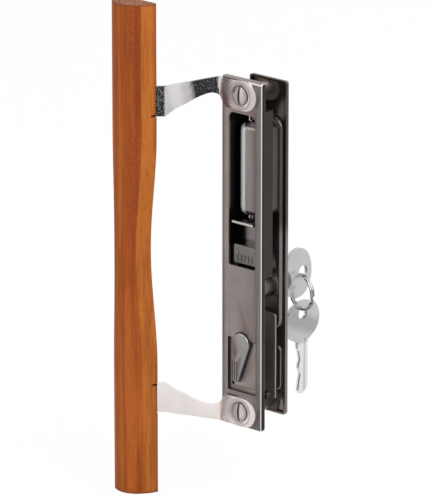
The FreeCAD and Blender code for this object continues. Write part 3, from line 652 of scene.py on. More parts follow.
class Finish(Enum):
    """The finishes of this handle."""

    WOOD = StainedWood()
    PLATE = Pressed(
        (0.335, 0.292, 0.283), (0.225, 0.200, 0.194), 0.30, brush=(500.0, 500.0, 18.0), brush_share=0.18,
    )
    DRAWN = Drawn(
        (0.088, 0.073, 0.068), (0.052, 0.043, 0.040), 0.22, 0.9, (300.0, 300.0, 60.0), 0.12, coat=0.2,
    )
    LEVER = Metal(
        (0.340, 0.325, 0.325), (0.210, 0.202, 0.202), 0.26, brush=(400.0, 400.0, 40.0), brush_share=0.2,
    )
    SLIDE = Carriage(
        (0.250, 0.235, 0.230), (0.135, 0.126, 0.123), 0.26, brush=(400.0, 400.0, 40.0), brush_share=0.2,
    )
    # The two straps are the same chrome painted as lit and shaded copies: the lower brighter with a lighter pad, the
    # upper darker and with painted dark reflections on its arm.
    UPPER = Strap(
        (0.76, 0.73, 0.725), (0.56, 0.54, 0.535), 0.30, brush=(700.0, 700.0, 90.0), brush_share=0.30, ripple=0.4,
    )
    LOWER = Strap(
        (0.88, 0.82, 0.80), (0.70, 0.65, 0.635), 0.30, brush=(700.0, 700.0, 90.0), brush_share=0.22, ripple=0.4,
        pad_share=0.20, reflection_share=0.42, arm_reflection=False,
    )
    HEAD = Head((0.66, 0.62, 0.61), (0.44, 0.41, 0.40), 0.34, brush=(600.0, 600.0, 90.0))
    BARREL = Metal((0.190, 0.168, 0.158), (0.110, 0.097, 0.090), 0.36)
    STEEL = Metal((0.30, 0.295, 0.29), (0.16, 0.155, 0.15), 0.34)
    DULL = Metal((0.350, 0.307, 0.288), (0.200, 0.173, 0.162), 0.52, 0.9)
    INNER = Guide((0.050, 0.041, 0.038), (0.028, 0.023, 0.021), 0.40, 0.9)
    POST = Metal((0.190, 0.160, 0.148), (0.110, 0.092, 0.085), 0.46, 0.9)
    CAST = Metal((0.250, 0.235, 0.230), (0.110, 0.103, 0.100), 0.36, 0.9, speckle=0.4)
    BRASS = Metal((0.62, 0.44, 0.17), (0.40, 0.27, 0.10), 0.3)
    KEY = Blank((0.60, 0.59, 0.588), (0.45, 0.44, 0.44), 0.30, brush=(900.0, 900.0, 35.0), brush_share=0.35)
    # The ring's near-black speckles paint its dark reflections.
    RING = Metal((0.40, 0.40, 0.40), (0.018, 0.018, 0.019), 0.14, speckle=1.0)


class Finishes:
    """Materials, made once each."""

    def __init__(self) -> None:
        """Start with none."""
        self.made: dict[Finish, bpy.types.Material] = {}

    def dress(self, thing: bpy.types.Object, finish: Finish) -> None:
        """Give an object one finish all over.

        Args:
            thing: the object.
            finish: its finish, whose material is made on its first use.
        """
        if finish not in self.made:
            self.made[finish] = finish.value.build(finish.name.lower())
        thing.data.materials.clear()
        thing.data.materials.append(self.made[finish])


# Modelling. Sizes from here on are in millimetres.

class Form:
    """A mesh shaped by modelling operators."""

    def __init__(self, name: str) -> None:
        """Take over the object that an operator has just added."""
        self.thing = bpy.context.object
        self.thing.name = name
        self.thing.data.name = name

    @staticmethod
    def clear() -> None:
        """Deselect everything."""
        bpy.ops.object.select_all(action="DESELECT")

    @classmethod
    def box(cls, name: str, low: Sequence[float], high: Sequence[float]) -> "Form":
        """Add a box.

        Args:
            name: the piece's name.
            low: its lower corner.
            high: its upper corner.

        Returns:
            The box.
        """
        cls.clear()
        middle = [(a + b) / 2 * MM for a, b in zip(low, high)]
        bpy.ops.mesh.primitive_cube_add(size=1.0, location=middle)
        form = cls(name)
        form.thing.scale = [(b - a) * MM for a, b in zip(low, high)]
        return form.settle()

    @classmethod
    def plate(cls, name: str, outline: Sequence[Point], y0: float, y1: float) -> "Form":
        """Add a flat piece.

        Args:
            name: the piece's name.
            outline: its corners in X and Z.
            y0: Y of the outline.
            y1: Y that it is extruded to.

        Returns:
            The closed form.
        """
        cls.clear()
        bpy.ops.mesh.primitive_circle_add(vertices=len(outline), fill_type="NGON")
        form = cls(name)
        for vertex, (x, z) in zip(form.thing.data.vertices, outline):
            vertex.co = (x * MM, y0 * MM, z * MM)
        form.all_edit()
        bpy.ops.mesh.extrude_region_move(TRANSFORM_OT_translate={"value": (0, (y1 - y0) * MM, 0)})
        return form.outward()

    @classmethod
    def turned(cls, name: str, profile: Sequence[Point], centre: Point, steps: int = 64) -> "Form":
        """Add a piece turned about Y.

        Args:
            name: the piece's name.
            profile: radius and Y of each corner, from one end to the other.
            centre: X and Z of the axis.
            steps: faces round it.

        Returns:
            The closed form.
        """
        cls.clear()
        bpy.ops.mesh.primitive_circle_add(vertices=len(profile), fill_type="NOTHING")
        form = cls(name)
        for vertex, (radius, y) in zip(form.thing.data.vertices, profile):
            vertex.co = ((centre[0] + radius) * MM, y * MM, centre[1] * MM)
        form.all_edit()
        bpy.ops.mesh.spin(
            steps=steps, angle=2 * math.pi, center=(centre[0] * MM, 0, centre[1] * MM), axis=(0, 1, 0)
        )
        bpy.ops.mesh.select_all(action="SELECT")
        bpy.ops.mesh.remove_doubles(threshold=1e-6)
        bpy.ops.mesh.dissolve_degenerate(threshold=1e-6)
        return form.outward()

    def active(self) -> None:
        """Select this object alone."""
        self.clear()
        self.thing.select_set(True)
        bpy.context.view_layer.objects.active = self.thing

    def all_edit(self) -> None:
        """Enter edit mode with the whole mesh selected."""
        self.active()
        bpy.ops.object.mode_set(mode="EDIT")
        bpy.ops.mesh.select_all(action="SELECT")

    def done(self) -> "Form":
        """Leave edit mode."""
        bpy.ops.object.mode_set(mode="OBJECT")
        return self

    def outward(self) -> "Form":
        """Turn all faces outwards and leave edit mode."""
        bpy.ops.mesh.select_all(action="SELECT")
        bpy.ops.mesh.normals_make_consistent(inside=False)
        return self.done()

    def pick(self, kind: str, test: Callable[[Vector, Vector], bool]) -> "Form":
        """Enter edit mode with chosen elements selected.

        Args:
            kind: EDGE or FACE.
            test: takes the two ends of an edge, or the middle and normal of a face.

        Returns:
            This form.
        """
        self.active()
        mesh = self.thing.data
        for elements in (mesh.vertices, mesh.edges, mesh.polygons):
            elements.foreach_set("select", [False] * len(elements))
        if kind == "EDGE":
            for edge in mesh.edges:
                a, b = (mesh.vertices[i].co / MM for i in edge.vertices)
                edge.select = bool(test(a, b))
        else:
            for face in mesh.polygons:
                face.select = bool(test(face.center / MM, face.normal))
        bpy.ops.object.mode_set(mode="EDIT")
        bpy.ops.mesh.select_mode(type=kind)
        return self

    def bevel(self, width: float, segments: int) -> "Form":
        """Round the picked edges, then leave edit mode."""
        bpy.ops.mesh.bevel(offset=width * MM, segments=segments, affect="EDGES", clamp_overlap=True)
        return self.done()

    def open_face(self, test: Callable[[Vector, Vector], bool]) -> "Form":
        """Delete the faces that a test on middle and normal picks."""
        self.pick("FACE", test)
        bpy.ops.mesh.delete(type="FACE")
        return self.done()

    def modify(self, kind: str, **settings: object) -> "Form":
        """Add a modifier and apply it.

        Args:
            kind: Blender's name of its type.
            settings: its properties.

        Returns:
            This form.
        """
        self.active()
        change = self.thing.modifiers.new(kind, kind)
        for key, value in settings.items():
            setattr(change, key, value)
        bpy.ops.object.modifier_apply(modifier=change.name)
        return self

    def combine(self, operation: str, others: Iterable["Form"]) -> "Form":
        """Join this form with others and remove them.

        Args:
            operation: DIFFERENCE or UNION.
            others: the other forms.

        Returns:
            This form.
        """
        for other in others:
            self.modify("BOOLEAN", operation=operation, solver="EXACT", object=other.thing)
            bpy.data.objects.remove(other.thing)
        return self

    def cut(self, *tools: "Form") -> "Form":
        """Take other forms out of this one."""
        return self.combine("DIFFERENCE", tools)

    def add(self, *others: "Form") -> "Form":
        """Grow other forms into this one."""
        return self.combine("UNION", others)

    def soften(self, width: float, segments: int = 2, angle: float = 35.0) -> "Form":
        """Round every edge sharper than an angle."""
        return self.modify(
            "BEVEL", width=width * MM, segments=segments, limit_method="ANGLE", angle_limit=math.radians(angle),
            harden_normals=False, use_clamp_overlap=True, miter_outer="MITER_ARC",
        )

    def hollowed(self, sheet: float) -> "Form":
        """Turn an open shell into sheet of this thickness, inwards."""
        return self.modify("SOLIDIFY", thickness=sheet * MM, offset=-1.0, use_even_offset=True)

    def slice_x(self, places: Iterable[float]) -> "Form":
        """Cut new edge loops across X.

        Args:
            places: X of each loop.

        Returns:
            This form.
        """
        self.all_edit()
        for place in places:
            bpy.ops.mesh.select_all(action="SELECT")
            bpy.ops.mesh.bisect(plane_co=(place * MM, 0, 0), plane_no=(1, 0, 0))
        return self.outward()

    def reshape(self, rule: Callable[[Vector], Vector]) -> "Form":
        """Move every vertex by a rule.

        Args:
            rule: takes a vertex's place and gives its new one.

        Returns:
            This form.
        """
        for vertex in self.thing.data.vertices:
            vertex.co = rule(vertex.co / MM) * MM
        return self

    def smooth(self, angle: float = 35.0) -> "Form":
        """Shade smooth except at edges sharper than an angle."""
        self.active()
        bpy.ops.object.shade_smooth_by_angle(angle=math.radians(angle))
        return self

    def settle(self) -> "Form":
        """Move the object's place into its mesh."""
        self.active()
        bpy.ops.object.transform_apply(location=True, rotation=True, scale=True)
        return self

    def copy(self, name: str) -> "Form":
        """A second form with its own mesh."""
        self.active()
        bpy.ops.object.duplicate()
        return Form(name)


def rounded(half: float, z0: float, z1: float, corner: float, steps: int = 8) -> list[Point]:
    """Outline of a rectangle with rounded corners, centred on X.

    Args:
        half: half its width.
        z0: its lower Z.
        z1: its upper Z.
        corner: radius of its corners.
        steps: pieces in each corner's arc.

    Returns:
        The outline from the upper right corner, anticlockwise.
    """
    right, top, low = half - corner, z1 - corner, z0 + corner
    corners = (((right, top), 0), ((-right, top), 90), ((-right, low), 180), ((right, low), 270))
    return [point for centre, start in corners for point in sweep(centre, corner, start, start + 90, steps)]


def sweep(centre: Point, radius: float, start: float, end: float, steps: int) -> list[Point]:
    """Points on an arc.

    Args:
        centre: X and Z of its centre.
        radius: its radius.
        start: its first angle, in degrees from +X towards +Z.
        end: its last angle.
        steps: pieces between them.

    Returns:
        The points, both ends with them.
    """
    angles = (math.radians(start + (end - start) * i / steps) for i in range(steps + 1))
    return [(centre[0] + radius * math.cos(a), centre[1] + radius * math.sin(a)) for a in angles]


def arc_through(a: Point, b: Point, c: Point, steps: int) -> list[Point]:
    """Points on the arc through three points.

    Args:
        a: the first point.
        b: a point between.
        c: the last point.
        steps: pieces from first to last.

    Returns:
        The points, both ends with them.
    """
    d = 2 * (a[0] * (b[1] - c[1]) + b[0] * (c[1] - a[1]) + c[0] * (a[1] - b[1]))
    sq = [p[0] ** 2 + p[1] ** 2 for p in (a, b, c)]
    x = (sq[0] * (b[1] - c[1]) + sq[1] * (c[1] - a[1]) + sq[2] * (a[1] - b[1])) / d
    y = (sq[0] * (c[0] - b[0]) + sq[1] * (a[0] - c[0]) + sq[2] * (b[0] - a[0])) / d
    first, middle, last = (math.atan2(p[1] - y, p[0] - x) for p in (a, b, c))
    turn = (last - first) % (2 * math.pi)
    if (middle - first) % (2 * math.pi) > turn:
        turn -= 2 * math.pi
    start = math.degrees(first)
    return sweep((x, y), math.dist(a, (x, y)), start, start + math.degrees(turn), steps)


def teardrop(big: Point, big_radius: float, small: Point, small_radius: float, steps: int = 28) -> list[Point]:
    """Outline of two circles and the lines that touch both.

    Args:
        big: centre of the larger circle.
        big_radius: its radius.
        small: centre of the smaller circle.
        small_radius: its radius.
        steps: pieces of the larger arc, twice those of the smaller.

    Returns:
        The closed outline.
    """
    along = math.degrees(math.atan2(small[1] - big[1], small[0] - big[0]))
    spread = math.degrees(math.acos((big_radius - small_radius) / math.dist(big, small)))
    return (
        sweep(big, big_radius, along + spread, along + 360 - spread, steps)
        + sweep(small, small_radius, along - spread, along + spread, steps // 2)
    )


def disc(name: str, centre: Point, radius: float, y0: float, y1: float, count: int = 60) -> Form:
    """Add a round plate.

    Args:
        name: the piece's name.
        centre: X and Z of its axis.
        radius: its radius.
        y0: Y of one face.
        y1: Y of the other.
        count: corners round it.

    Returns:
        The disc.
    """
    return Form.plate(name, sweep(centre, radius, 0, 360 - 360 / count, count - 1), y0, y1)


@dataclass
class Assembly:
    """A group of pieces that share one way of dressing."""

    finishes: Finishes

    def fit(self, form: Form, body: str, finish: Finish, slot: str, *nodes: str) -> None:
        """Dress a new piece and let it stand for CAD nodes.

        Args:
            form: the modelled piece.
            body: the CAD body that carries it.
            finish: its finish.
            slot: name of a material slot; not used.
            nodes: the CAD nodes it replaces.
        """
        self.finishes.dress(form.thing, finish)
        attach(form.thing, body)
        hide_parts(*nodes)
        LOG.info("%s: %d faces on %s", form.thing.name, len(form.thing.data.polygons), body)

    def keep(self, nodes: dict[str, bpy.types.Object], finish: Finish, *names: str) -> None:
        """Dress CAD nodes that stay as they are.

        Args:
            nodes: the CAD nodes by name.
            finish: the finish they share.
            names: which of them take it.
        """
        for name in names:
            self.finishes.dress(nodes[name], finish)
            LOG.info("%s: kept, %s", name, finish.name.lower())


# The wooden pull and its brackets

@dataclass
class Pull(Assembly):
    """Wooden pull with a waist on its grip side and a routed slot for each bracket."""

    right: float = -36.2
    width: float = 22.4
    back: float = -26.2
    depth: float = 12.4
    half_length: float = 130.2
    waist_half: float = 62.0
    waist_right: float = 4.2
    waist_left: float = 1.3
    shoulder: Point = (3.7, 7.2)
    left: Point = (4.6, 8.4)
    # Each slot: its depth, its reach from the right edge, and its ends below and above the screw's height.
    slots: Sequence[tuple[float, float, float, float]] = ((0.6, 14.8, 13.3, 2.9), (3.2, 3.0, 13.0, -11.9))
    around: int = 30
    along: int = 71

    def section(self, z: float) -> list[Point]:
        """Cross-section at one height.

        Args:
            z: the height.

        Returns:
            Its outline in X and Y, from the back's right corner round the front.
        """
        ease = 0.5 * (1 + math.cos(math.pi * z / self.waist_half)) if abs(z) < self.waist_half else 0.0
        right = self.right - self.waist_right * ease
        left = self.right - self.width + self.waist_left * ease
        ridge = (right - self.shoulder[0], self.back - self.shoulder[1])
        flank = (left, self.back - self.left[1])
        crown = ((right + left) / 2, self.back - self.depth)
        heel = (left + self.left[0], self.back)
        toe = (right, self.back)
        shoulder_mid = (right - 0.3 * self.shoulder[0], self.back - self.shoulder[1] / 2)
        left_mid = (left + 0.25 * self.left[0], self.back - self.left[1] / 2)
        n = self.around
        points = arc_through(toe, shoulder_mid, ridge, n // 3)[:-1]
        points += arc_through(ridge, crown, flank, n)[:-1]
        points += arc_through(flank, left_mid, heel, n // 3)[:-1]
        steps = n // 2
        return points + [(heel[0] + (toe[0] - heel[0]) * i / steps, self.back) for i in range(steps)]

    def build(self) -> None:
        """Shape the pull from a cylinder, rout its slots and round its edges."""
        count = len(self.section(0.0))
        Form.clear()
        bpy.ops.mesh.primitive_cylinder_add(
            vertices=count, radius=0.01, depth=2 * self.half_length * MM, end_fill_type="NGON"
        )
        form = Form("pull_wood")
        half = self.half_length
        form.pick("EDGE", lambda a, b: abs(a.z - b.z) > half)
        bpy.ops.mesh.subdivide(number_cuts=self.along)
        form.done()

        def wrap(point: Vector) -> Vector:
            """Move a point of the cylinder to the same turn of the section."""
            turn = math.atan2(point.y, point.x) % (2 * math.pi)
            x, y = self.section(point.z)[-round(turn / (2 * math.pi) * count) % count]
            return Vector((x, y, point.z))

        form.reshape(wrap)
        form.all_edit()
        form.outward()
        for _, sign in reversed(ENDS):
            for deep, reach, below, above in self.slots:
                low, high = sorted((sign * (SCREW_Z - below), sign * (SCREW_Z + above)))
                form.cut(Form.box(
                    "slot", (self.right - reach, self.back - deep, low), (self.right + 9, self.back + 5, high)
                ))
        form.soften(0.55, 3, 24.0).smooth(28.0)
        self.fit(form, "base", Finish.WOOD, "stained_wood", "wood_pull")


@dataclass
class Brackets(Assembly):
    """Two straps, cut flat and bent, each with a round pad and a wide foot."""

    thickness: float = 1.8
    pad_round: float = 7.6
    pad_centre: float = 2.9
    pad_line: float = -3.4
    foot_line: float = -25.9
    bend: Point = (-14.0, -37.4)
    bend_radius: float = 3.4
    bend_slices: int = 8
    arm_slices: int = 6
    foot_end: float = -50.7
    foot_low: float = -13.0
    foot_high: float = 2.6
    foot_start: float = -33.7
    upper: Sequence[Point] = ((-14.0, 7.3), (-18.7, 6.3), (-24.4, 4.9), (-30.0, 3.7))
    lower: Sequence[Point] = (
        (-30.0, -9.1), (-26.0, -6.3), (-22.6, -3.6), (-19.0, -1.5), (-16.4, -0.9), (-13.6, -2.3),
    )
    arm_end: float = -9.5
    dimple_deep: float = 1.35
    dimple_floor: float = 4.9
    dimple_mouth: float = 6.2

    def __post_init__(self) -> None:
        """Work out the arm's slope and length, and where each bend starts on the flat strap."""
        run, fall = self.bend[0] - self.bend[1], self.pad_line - self.foot_line
        self.slope = math.atan2(fall, run)
        self.arm = math.hypot(run, fall)
        self.set_back = self.bend_radius * math.tan(self.slope / 2)
        self.arc = self.bend_radius * self.slope
        self.first = self.bend[0] + self.set_back
        self.second = self.first - self.arc - (self.arm - 2 * self.set_back)

    def unrolled(self, x: float) -> float:
        """Place along the flat strap.

        Args:
            x: X of a point once bent.

        Returns:
            The place, equal to X on the pad.
        """
        start = self.bend[0]
        if x >= self.first:
            return x
        if x >= self.bend[1]:
            return start - (start - x) / math.cos(self.slope)
        return start - self.arm + (x - self.bend[1])

    def bent(self, s: float, side: float) -> Point:
        """Place in X and Y of a point of the flat strap.

        Args:
            s: place along it, equal to X on the pad.
            side: distance from the middle of its thickness, towards +Y on the pad.

        Returns:
            X and Y.
        """
        first, second = self.first, self.second
        c, k = math.cos(self.slope), math.sin(self.slope)
        if s >= first:
            return s, self.pad_line + side
        if s >= first - self.arc:
            turn = (first - s) / self.bend_radius
            reach = self.bend_radius + side
            return first - reach * math.sin(turn), self.pad_line - self.bend_radius + reach * math.cos(turn)
        if s >= second:
            along = first - self.arc - s + self.set_back
            return self.bend[0] - along * c - side * k, self.pad_line - along * k + side * c
        if s >= second - self.arc:
            turn = self.slope - (second - s) / self.bend_radius
            reach = self.bend_radius - side
            x = self.bend[1] - self.set_back + reach * math.sin(turn)
            return x, self.foot_line + self.bend_radius - reach * math.cos(turn)
        return self.bend[1] - self.set_back - (second - self.arc - s), self.foot_line + side

    def eased(self, points: Sequence[Point], steps: int = 7) -> list[Point]:
        """Smooth line through points.

        Args:
            points: the points.
            steps: pieces between two of them.

        Returns:
            The line's points.
        """
        def along(a: float, b: float, c: float, d: float, t: float) -> float:
            """One coordinate between b and c, eased by the neighbours a and d."""
            return 0.5 * (
                2 * b + (c - a) * t + (2 * a - 5 * b + 4 * c - d) * t * t + (3 * b - a - 3 * c + d) * t ** 3
            )

        padded = [points[0], *points, points[-1]]
        spans = zip(padded, padded[1:], padded[2:], padded[3:])
        line = [tuple(along(*part, i / steps) for part in zip(*span)) for span in spans for i in range(steps)]
        return line + [points[-1]]

    def outline(self) -> list[Point]:
        """Outline of the flat strap, from the pad's top round to the arm's upper edge."""
        rim = [(self.pad_centre + x, z) for x, z in sweep((0, 0), self.pad_round, 90, -90, 24)]
        under = self.eased([(self.arm_end, -self.pad_round), *self.lower[::-1], (self.foot_start, self.foot_low)])
        over = self.eased([(self.foot_start, self.foot_high), *self.upper[::-1]])
        foot = [(self.foot_end, self.foot_low), (self.foot_end, self.foot_high)]
        return [(self.unrolled(x), z) for x, z in rim + under + foot + over]

    def slices(self) -> list[float]:
        """Places along the flat strap where it gets new edge loops, close in its bends."""
        n, m = self.bend_slices, self.arm_slices
        bends = [start - self.arc * i / n for start in (self.first, self.second) for i in range(n + 1)]
        arm = self.first - self.arc
        return bends + [arm + (self.second - arm) * i / m for i in range(1, m)]

    def build(self) -> None:
        """Cut each strap flat, dimple its pad, slice it across its bends and bend it."""
        half = self.thickness / 2
        floor, mouth = half - self.dimple_deep, -half - 0.01
        dimple = ((0.01, floor), (self.dimple_floor, floor), (self.dimple_mouth, mouth), (0.01, mouth))
        for name, sign in ENDS:
            form = Form.plate("bracket_" + name, [(s, sign * z) for s, z in self.outline()], -half, half)
            form.cut(Form.turned("dimple", dimple, (0, 0)))
            form.slice_x(self.slices())

            def fold(point: Vector, up: float = sign * SCREW_Z) -> Vector:
                """Bend a point of the flat strap and lift it to its height."""
                x, y = self.bent(point.x, point.y)
                return Vector((x, y, point.z + up))

            form.reshape(fold)
            form.all_edit()
            form.outward()
            form.soften(0.28, 2, 50.0).smooth(40.0)
            self.fit(form, "base", Finish.UPPER if sign > 0 else Finish.LOWER, "bright_chrome", name + "_bracket")


@dataclass
class Screws(Assembly):
    """Oval-head through screws and the pan-head screws of the brackets' feet."""

    seat: float = -3.85
    head: float = 4.8
    rise: float = 1.5
    rim: float = 0.5
    shank: float = 2.4
    end: float = 14.5
    chamfer: float = 0.4
    dome_steps: int = 9
    slot: Point = (1.3, 0.8)
    foot_x: float = -46.64
    foot_seat: float = -25.0
    foot_drop: float = 5.2
    # Radius, and height over the seat, of each corner of a foot screw.
    foot_profile: Sequence[Point] = (
        (0.01, 1.7), (2.2, 1.66), (3.1, 1.35), (3.6, 0.75), (3.6, 0.0), (1.9, 0.0), (1.9, -6.4), (0.4, -7.6),
        (0.01, -7.6),
    )
    foot_slot: Point = (0.8, 0.7)

    def through(self) -> Form:
        """One through screw at height zero, its slot upright."""
        top = self.seat - self.rise
        crown = self.rise - self.rim
        dome = (self.head ** 2 + crown ** 2) / (2 * crown)
        radii = [self.head * i / self.dome_steps for i in range(1, self.dome_steps + 1)]
        profile = [(0.01, top)] + [(r, top + dome - math.sqrt(dome ** 2 - r ** 2)) for r in radii]
        profile += [
            (self.head, self.seat), (self.shank, self.seat), (self.shank, self.end - self.chamfer),
            (self.shank - self.chamfer, self.end), (0.01, self.end),
        ]
        width, deep = self.slot
        form = Form.turned("screw", profile, (0, 0))
        form.cut(Form.box("slot", (-width / 2, top - 1, -self.head - 1), (width / 2, top + deep, self.head + 1)))
        return form.soften(0.12, 2, 40.0).smooth()

    def foot_screw(self, name: str, z: float) -> Form:
        """One screw of a bracket's foot.

        Args:
            name: its name.
            z: its height.

        Returns:
            The screw with its level slot.
        """
        seat, x = self.foot_seat, self.foot_x
        form = Form.turned(name, [(radius, seat + rise) for radius, rise in self.foot_profile], (x, z), 48)
        width, deep = self.foot_slot
        floor = seat + self.foot_profile[0][1] - deep
        form.cut(Form.box("slot", (x - 4, floor, z - width / 2), (x + 4, seat + 2.5, z + width / 2)))
        return form.soften(0.1, 2, 40.0).smooth()

    def build(self) -> None:
        """Make one through screw, copy it to its two places, and make the two foot screws."""
        model = self.through()
        for name, sign in ENDS:
            form = model.copy("screw_" + name)
            form.reshape(lambda p, up=sign * SCREW_Z: p + Vector((0, 0, up)))
            self.fit(form, "base", Finish.HEAD, "bright_chrome", name + "_through_screw")
        bpy.data.objects.remove(model.thing)
        for name, sign in ENDS:
            form = self.foot_screw("foot_screw_" + name, sign * (SCREW_Z - self.foot_drop))
            self.fit(form, "base", Finish.STEEL, "plain_steel", name + "_wood_screw")


# The plates

@dataclass
class InsidePlate(Assembly):
    """Room-side tray with the slide's window and the lever's pressed recess."""

    half_width: float = 13.5
    half_length: float = 92.5
    depth: float = 2.5
    sheet: float = 1.2
    corner: float = 1.5
    edge: float = 0.75
    window: tuple[float, float, float] = (8.8, -6.8, 74.2)
    recess: tuple[float, float, float] = (9.3, -74.0, -45.4)
    hub_z: float = -47.5
    hub_radius: float = 6.0
    screw_hole: float = 2.5
    step: float = 0.7
    tongue_sheet: float = 1.0
    tongue_left: float = -7.0
    lap: float = 0.7
    tongue_side: Sequence[Point] = ((6.3, -48.0), (2.3, -60.3), (-1.15, -68.8), (-7.0, -69.2))
    piercing: Point = (-4.0, 1.0)

    def tray(self) -> Form:
        """Folded tray with a softly rounded face edge."""
        half, depth = self.half_length, self.depth
        form = Form.box("plate_inside", (-self.half_width, -depth, -half), (self.half_width, 0, half))
        form.pick("EDGE", lambda a, b: abs(a.y - b.y) > depth / 2).bevel(self.corner, 7)
        form.pick("EDGE", lambda a, b: max(a.y, b.y) < -depth + 0.01).bevel(self.edge, 4)
        return form.open_face(lambda m, n: m.y > -0.01).hollowed(self.sheet)

    def window_outline(self) -> list[Point]:
        """Outline of the window, rounder at the top."""
        half, low, high = self.window
        return rounded(half, low, high, 3.2, 8)[:18] + rounded(half, low, high, 1.0, 4)[10:]

    def panel(self) -> Form:
        """Tongue pressed back beside the lever, joined to the plate above and at the right."""
        half, low, high = self.recess
        y = self.step - self.depth
        outline = [(half + self.lap, high - self.lap), (7.1, high - self.lap), *self.tongue_side]
        outline += [(self.tongue_left, low + 3.0), (half + self.lap, low + 3.0)]
        return Form.plate("tongue", outline, y, y + self.tongue_sheet)

    def build(self) -> None:
        """Pierce the tray and add the pressed tongue."""
        form = self.tray()
        form.cut(
            Form.plate("window", self.window_outline(), *self.piercing),
            Form.plate("recess", rounded(*self.recess, 0.6, 3), *self.piercing),
            disc("eye", (0, self.hub_z), self.hub_radius, *self.piercing),
        )
        form.add(self.panel())
        form.cut(*(disc("hole", (0, sign * SCREW_Z), self.screw_hole, *self.piercing, 36) for sign in (-1, 1)))
        form.soften(0.22, 2, 45.0).smooth()
        self.fit(form, "base", Finish.PLATE, "plate_satin", "interior_plate")


@dataclass
class OutsidePlate(Assembly):
    """Outdoor tray with a shallow dish, a deep finger trough and a lower stiffening recess."""

    half_width: float = 12.1
    half_length: float = 89.0
    rim: float = 17.5
    face: float = 20.0
    sheet: float = 1.2
    corner: float = 1.5
    edge: float = 0.75
    lap: float = 0.4
    port: float = 6.25
    # Each recess: half width, low and high Z, Y of its floor, corner and bend radius.
    dish: tuple[float, ...] = (10.3, -44.0, 70.0, 15.8, 7.0, 2.1)
    rib: tuple[float, ...] = (9.3, -76.8, -52.0, 17.4, 4.0, 1.0)
    trough: tuple[float, ...] = (8.6, 18.2, 67.5, 3.6, 5.0, 4.0)

    def pan(self, sizes: tuple[float, ...], start: float, grow: float) -> Form:
        """One drawn recess as a solid.

        Args:
            sizes: half width, low and high Z, Y of its floor, corner and bend radius.
            start: Y of its mouth.
            grow: how far it is inset, by the sheet's thickness inside and 0 outside.

        Returns:
            The solid with a rounded floor.
        """
        half, low, high, floor, corner, bend = sizes
        floor += grow
        form = Form.plate("pan", rounded(half - grow, low + grow, high - grow, corner - grow, 9), start, floor)
        form.pick("EDGE", lambda a, b: max(a.y, b.y) < floor + 0.01)
        return form.bevel(max(bend - grow, 0.6), 6)

    def build(self) -> None:
        """Grow the recesses on the tray, hollow them, and pierce the cylinder's port."""
        half, rim, face = self.half_length, self.rim, self.face
        form = Form.box("plate_outside", (-self.half_width, rim, -half), (self.half_width, face, half))
        form.pick("EDGE", lambda a, b: abs(a.y - b.y) > 1).bevel(self.corner, 7)
        form.pick("EDGE", lambda a, b: min(a.y, b.y) > face - 0.01).bevel(self.edge, 4)
        form.open_face(lambda m, n: m.y < rim + 0.01).hollowed(self.sheet)
        recesses = (self.dish, self.rib, self.trough)
        form.add(*(self.pan(sizes, face - self.lap, 0.0) for sizes in recesses))
        form.cut(*(self.pan(sizes, face + 1, self.sheet) for sizes in recesses))
        form.cut(disc("port", CYLINDER, self.port, 12, 22))
        form.soften(0.35, 3, 40.0).smooth()
        self.fit(form, "base", Finish.DRAWN, "plate_drawn", "exterior_plate")


# The lever and the cylinder

@dataclass
class Lever(Assembly):
    """Teardrop thumb lever with a grooved tip."""

    hub: Point = (0.0, -47.5)
    hub_radius: float = 5.6
    tip: Point = (-3.4, -66.5)
    tip_radius: float = 2.3
    front: float = -4.0
    back: float = -2.1
    seat: float = -1.05
    boss: float = 4.0
    groove_pitch: float = 1.35
    groove_half: float = 0.28
    groove_deep: float = 0.5
    groove_ends: Point = (-1.2, 9.0)

    def build(self) -> None:
        """Cut the teardrop, round it, groove its tip and add its boss."""
        outline = teardrop(self.hub, self.hub_radius, self.tip, self.tip_radius)
        form = Form.plate("lever", outline, self.front, self.back)
        front = self.front
        form.pick("EDGE", lambda a, b: max(a.y, b.y) < front + 0.01).bevel(0.7, 4)
        low, high = (self.tip[1] + end for end in self.groove_ends)
        for i in (-1, 0, 1):
            x = self.tip[0] + i * self.groove_pitch
            form.cut(Form.box(
                "groove", (x - self.groove_half, front - 1, low), (x + self.groove_half, front + self.groove_deep, high)
            ))
        form.add(disc("boss", self.hub, self.boss, self.back - 0.3, self.seat))
        form.soften(0.12, 2, 45.0).smooth()
        self.fit(form, "lever", Finish.LEVER, "bright_chrome", "thumb_lever")


@dataclass
class Cylinder(Assembly):
    """Barrel with a tapered collar through the outside plate."""

    # Radius and Y of each corner, from the inner end, with the retainer's groove, to the face and its bore.
    profile: Sequence[Point] = (
        (5.06, 2.6), (6.2, 2.6), (6.2, 14.7), (5.7, 14.7), (5.7, 15.8), (6.2, 15.8), (6.2, 17.0), (6.9, 17.0),
        (6.9, 17.7), (6.5, 27.3), (6.3, 27.75), (5.95, 27.9), (5.66, 27.9), (5.66, 26.4), (5.06, 26.4),
    )

    def build(self) -> None:
        """Turn the barrel and its collar as one bored piece."""
        form = Form.turned("barrel", self.profile, CYLINDER, 72).soften(0.08, 2, 50.0).smooth()
        self.fit(form, "base", Finish.BARREL, "bright_chrome", "cylinder_body")


# Keys

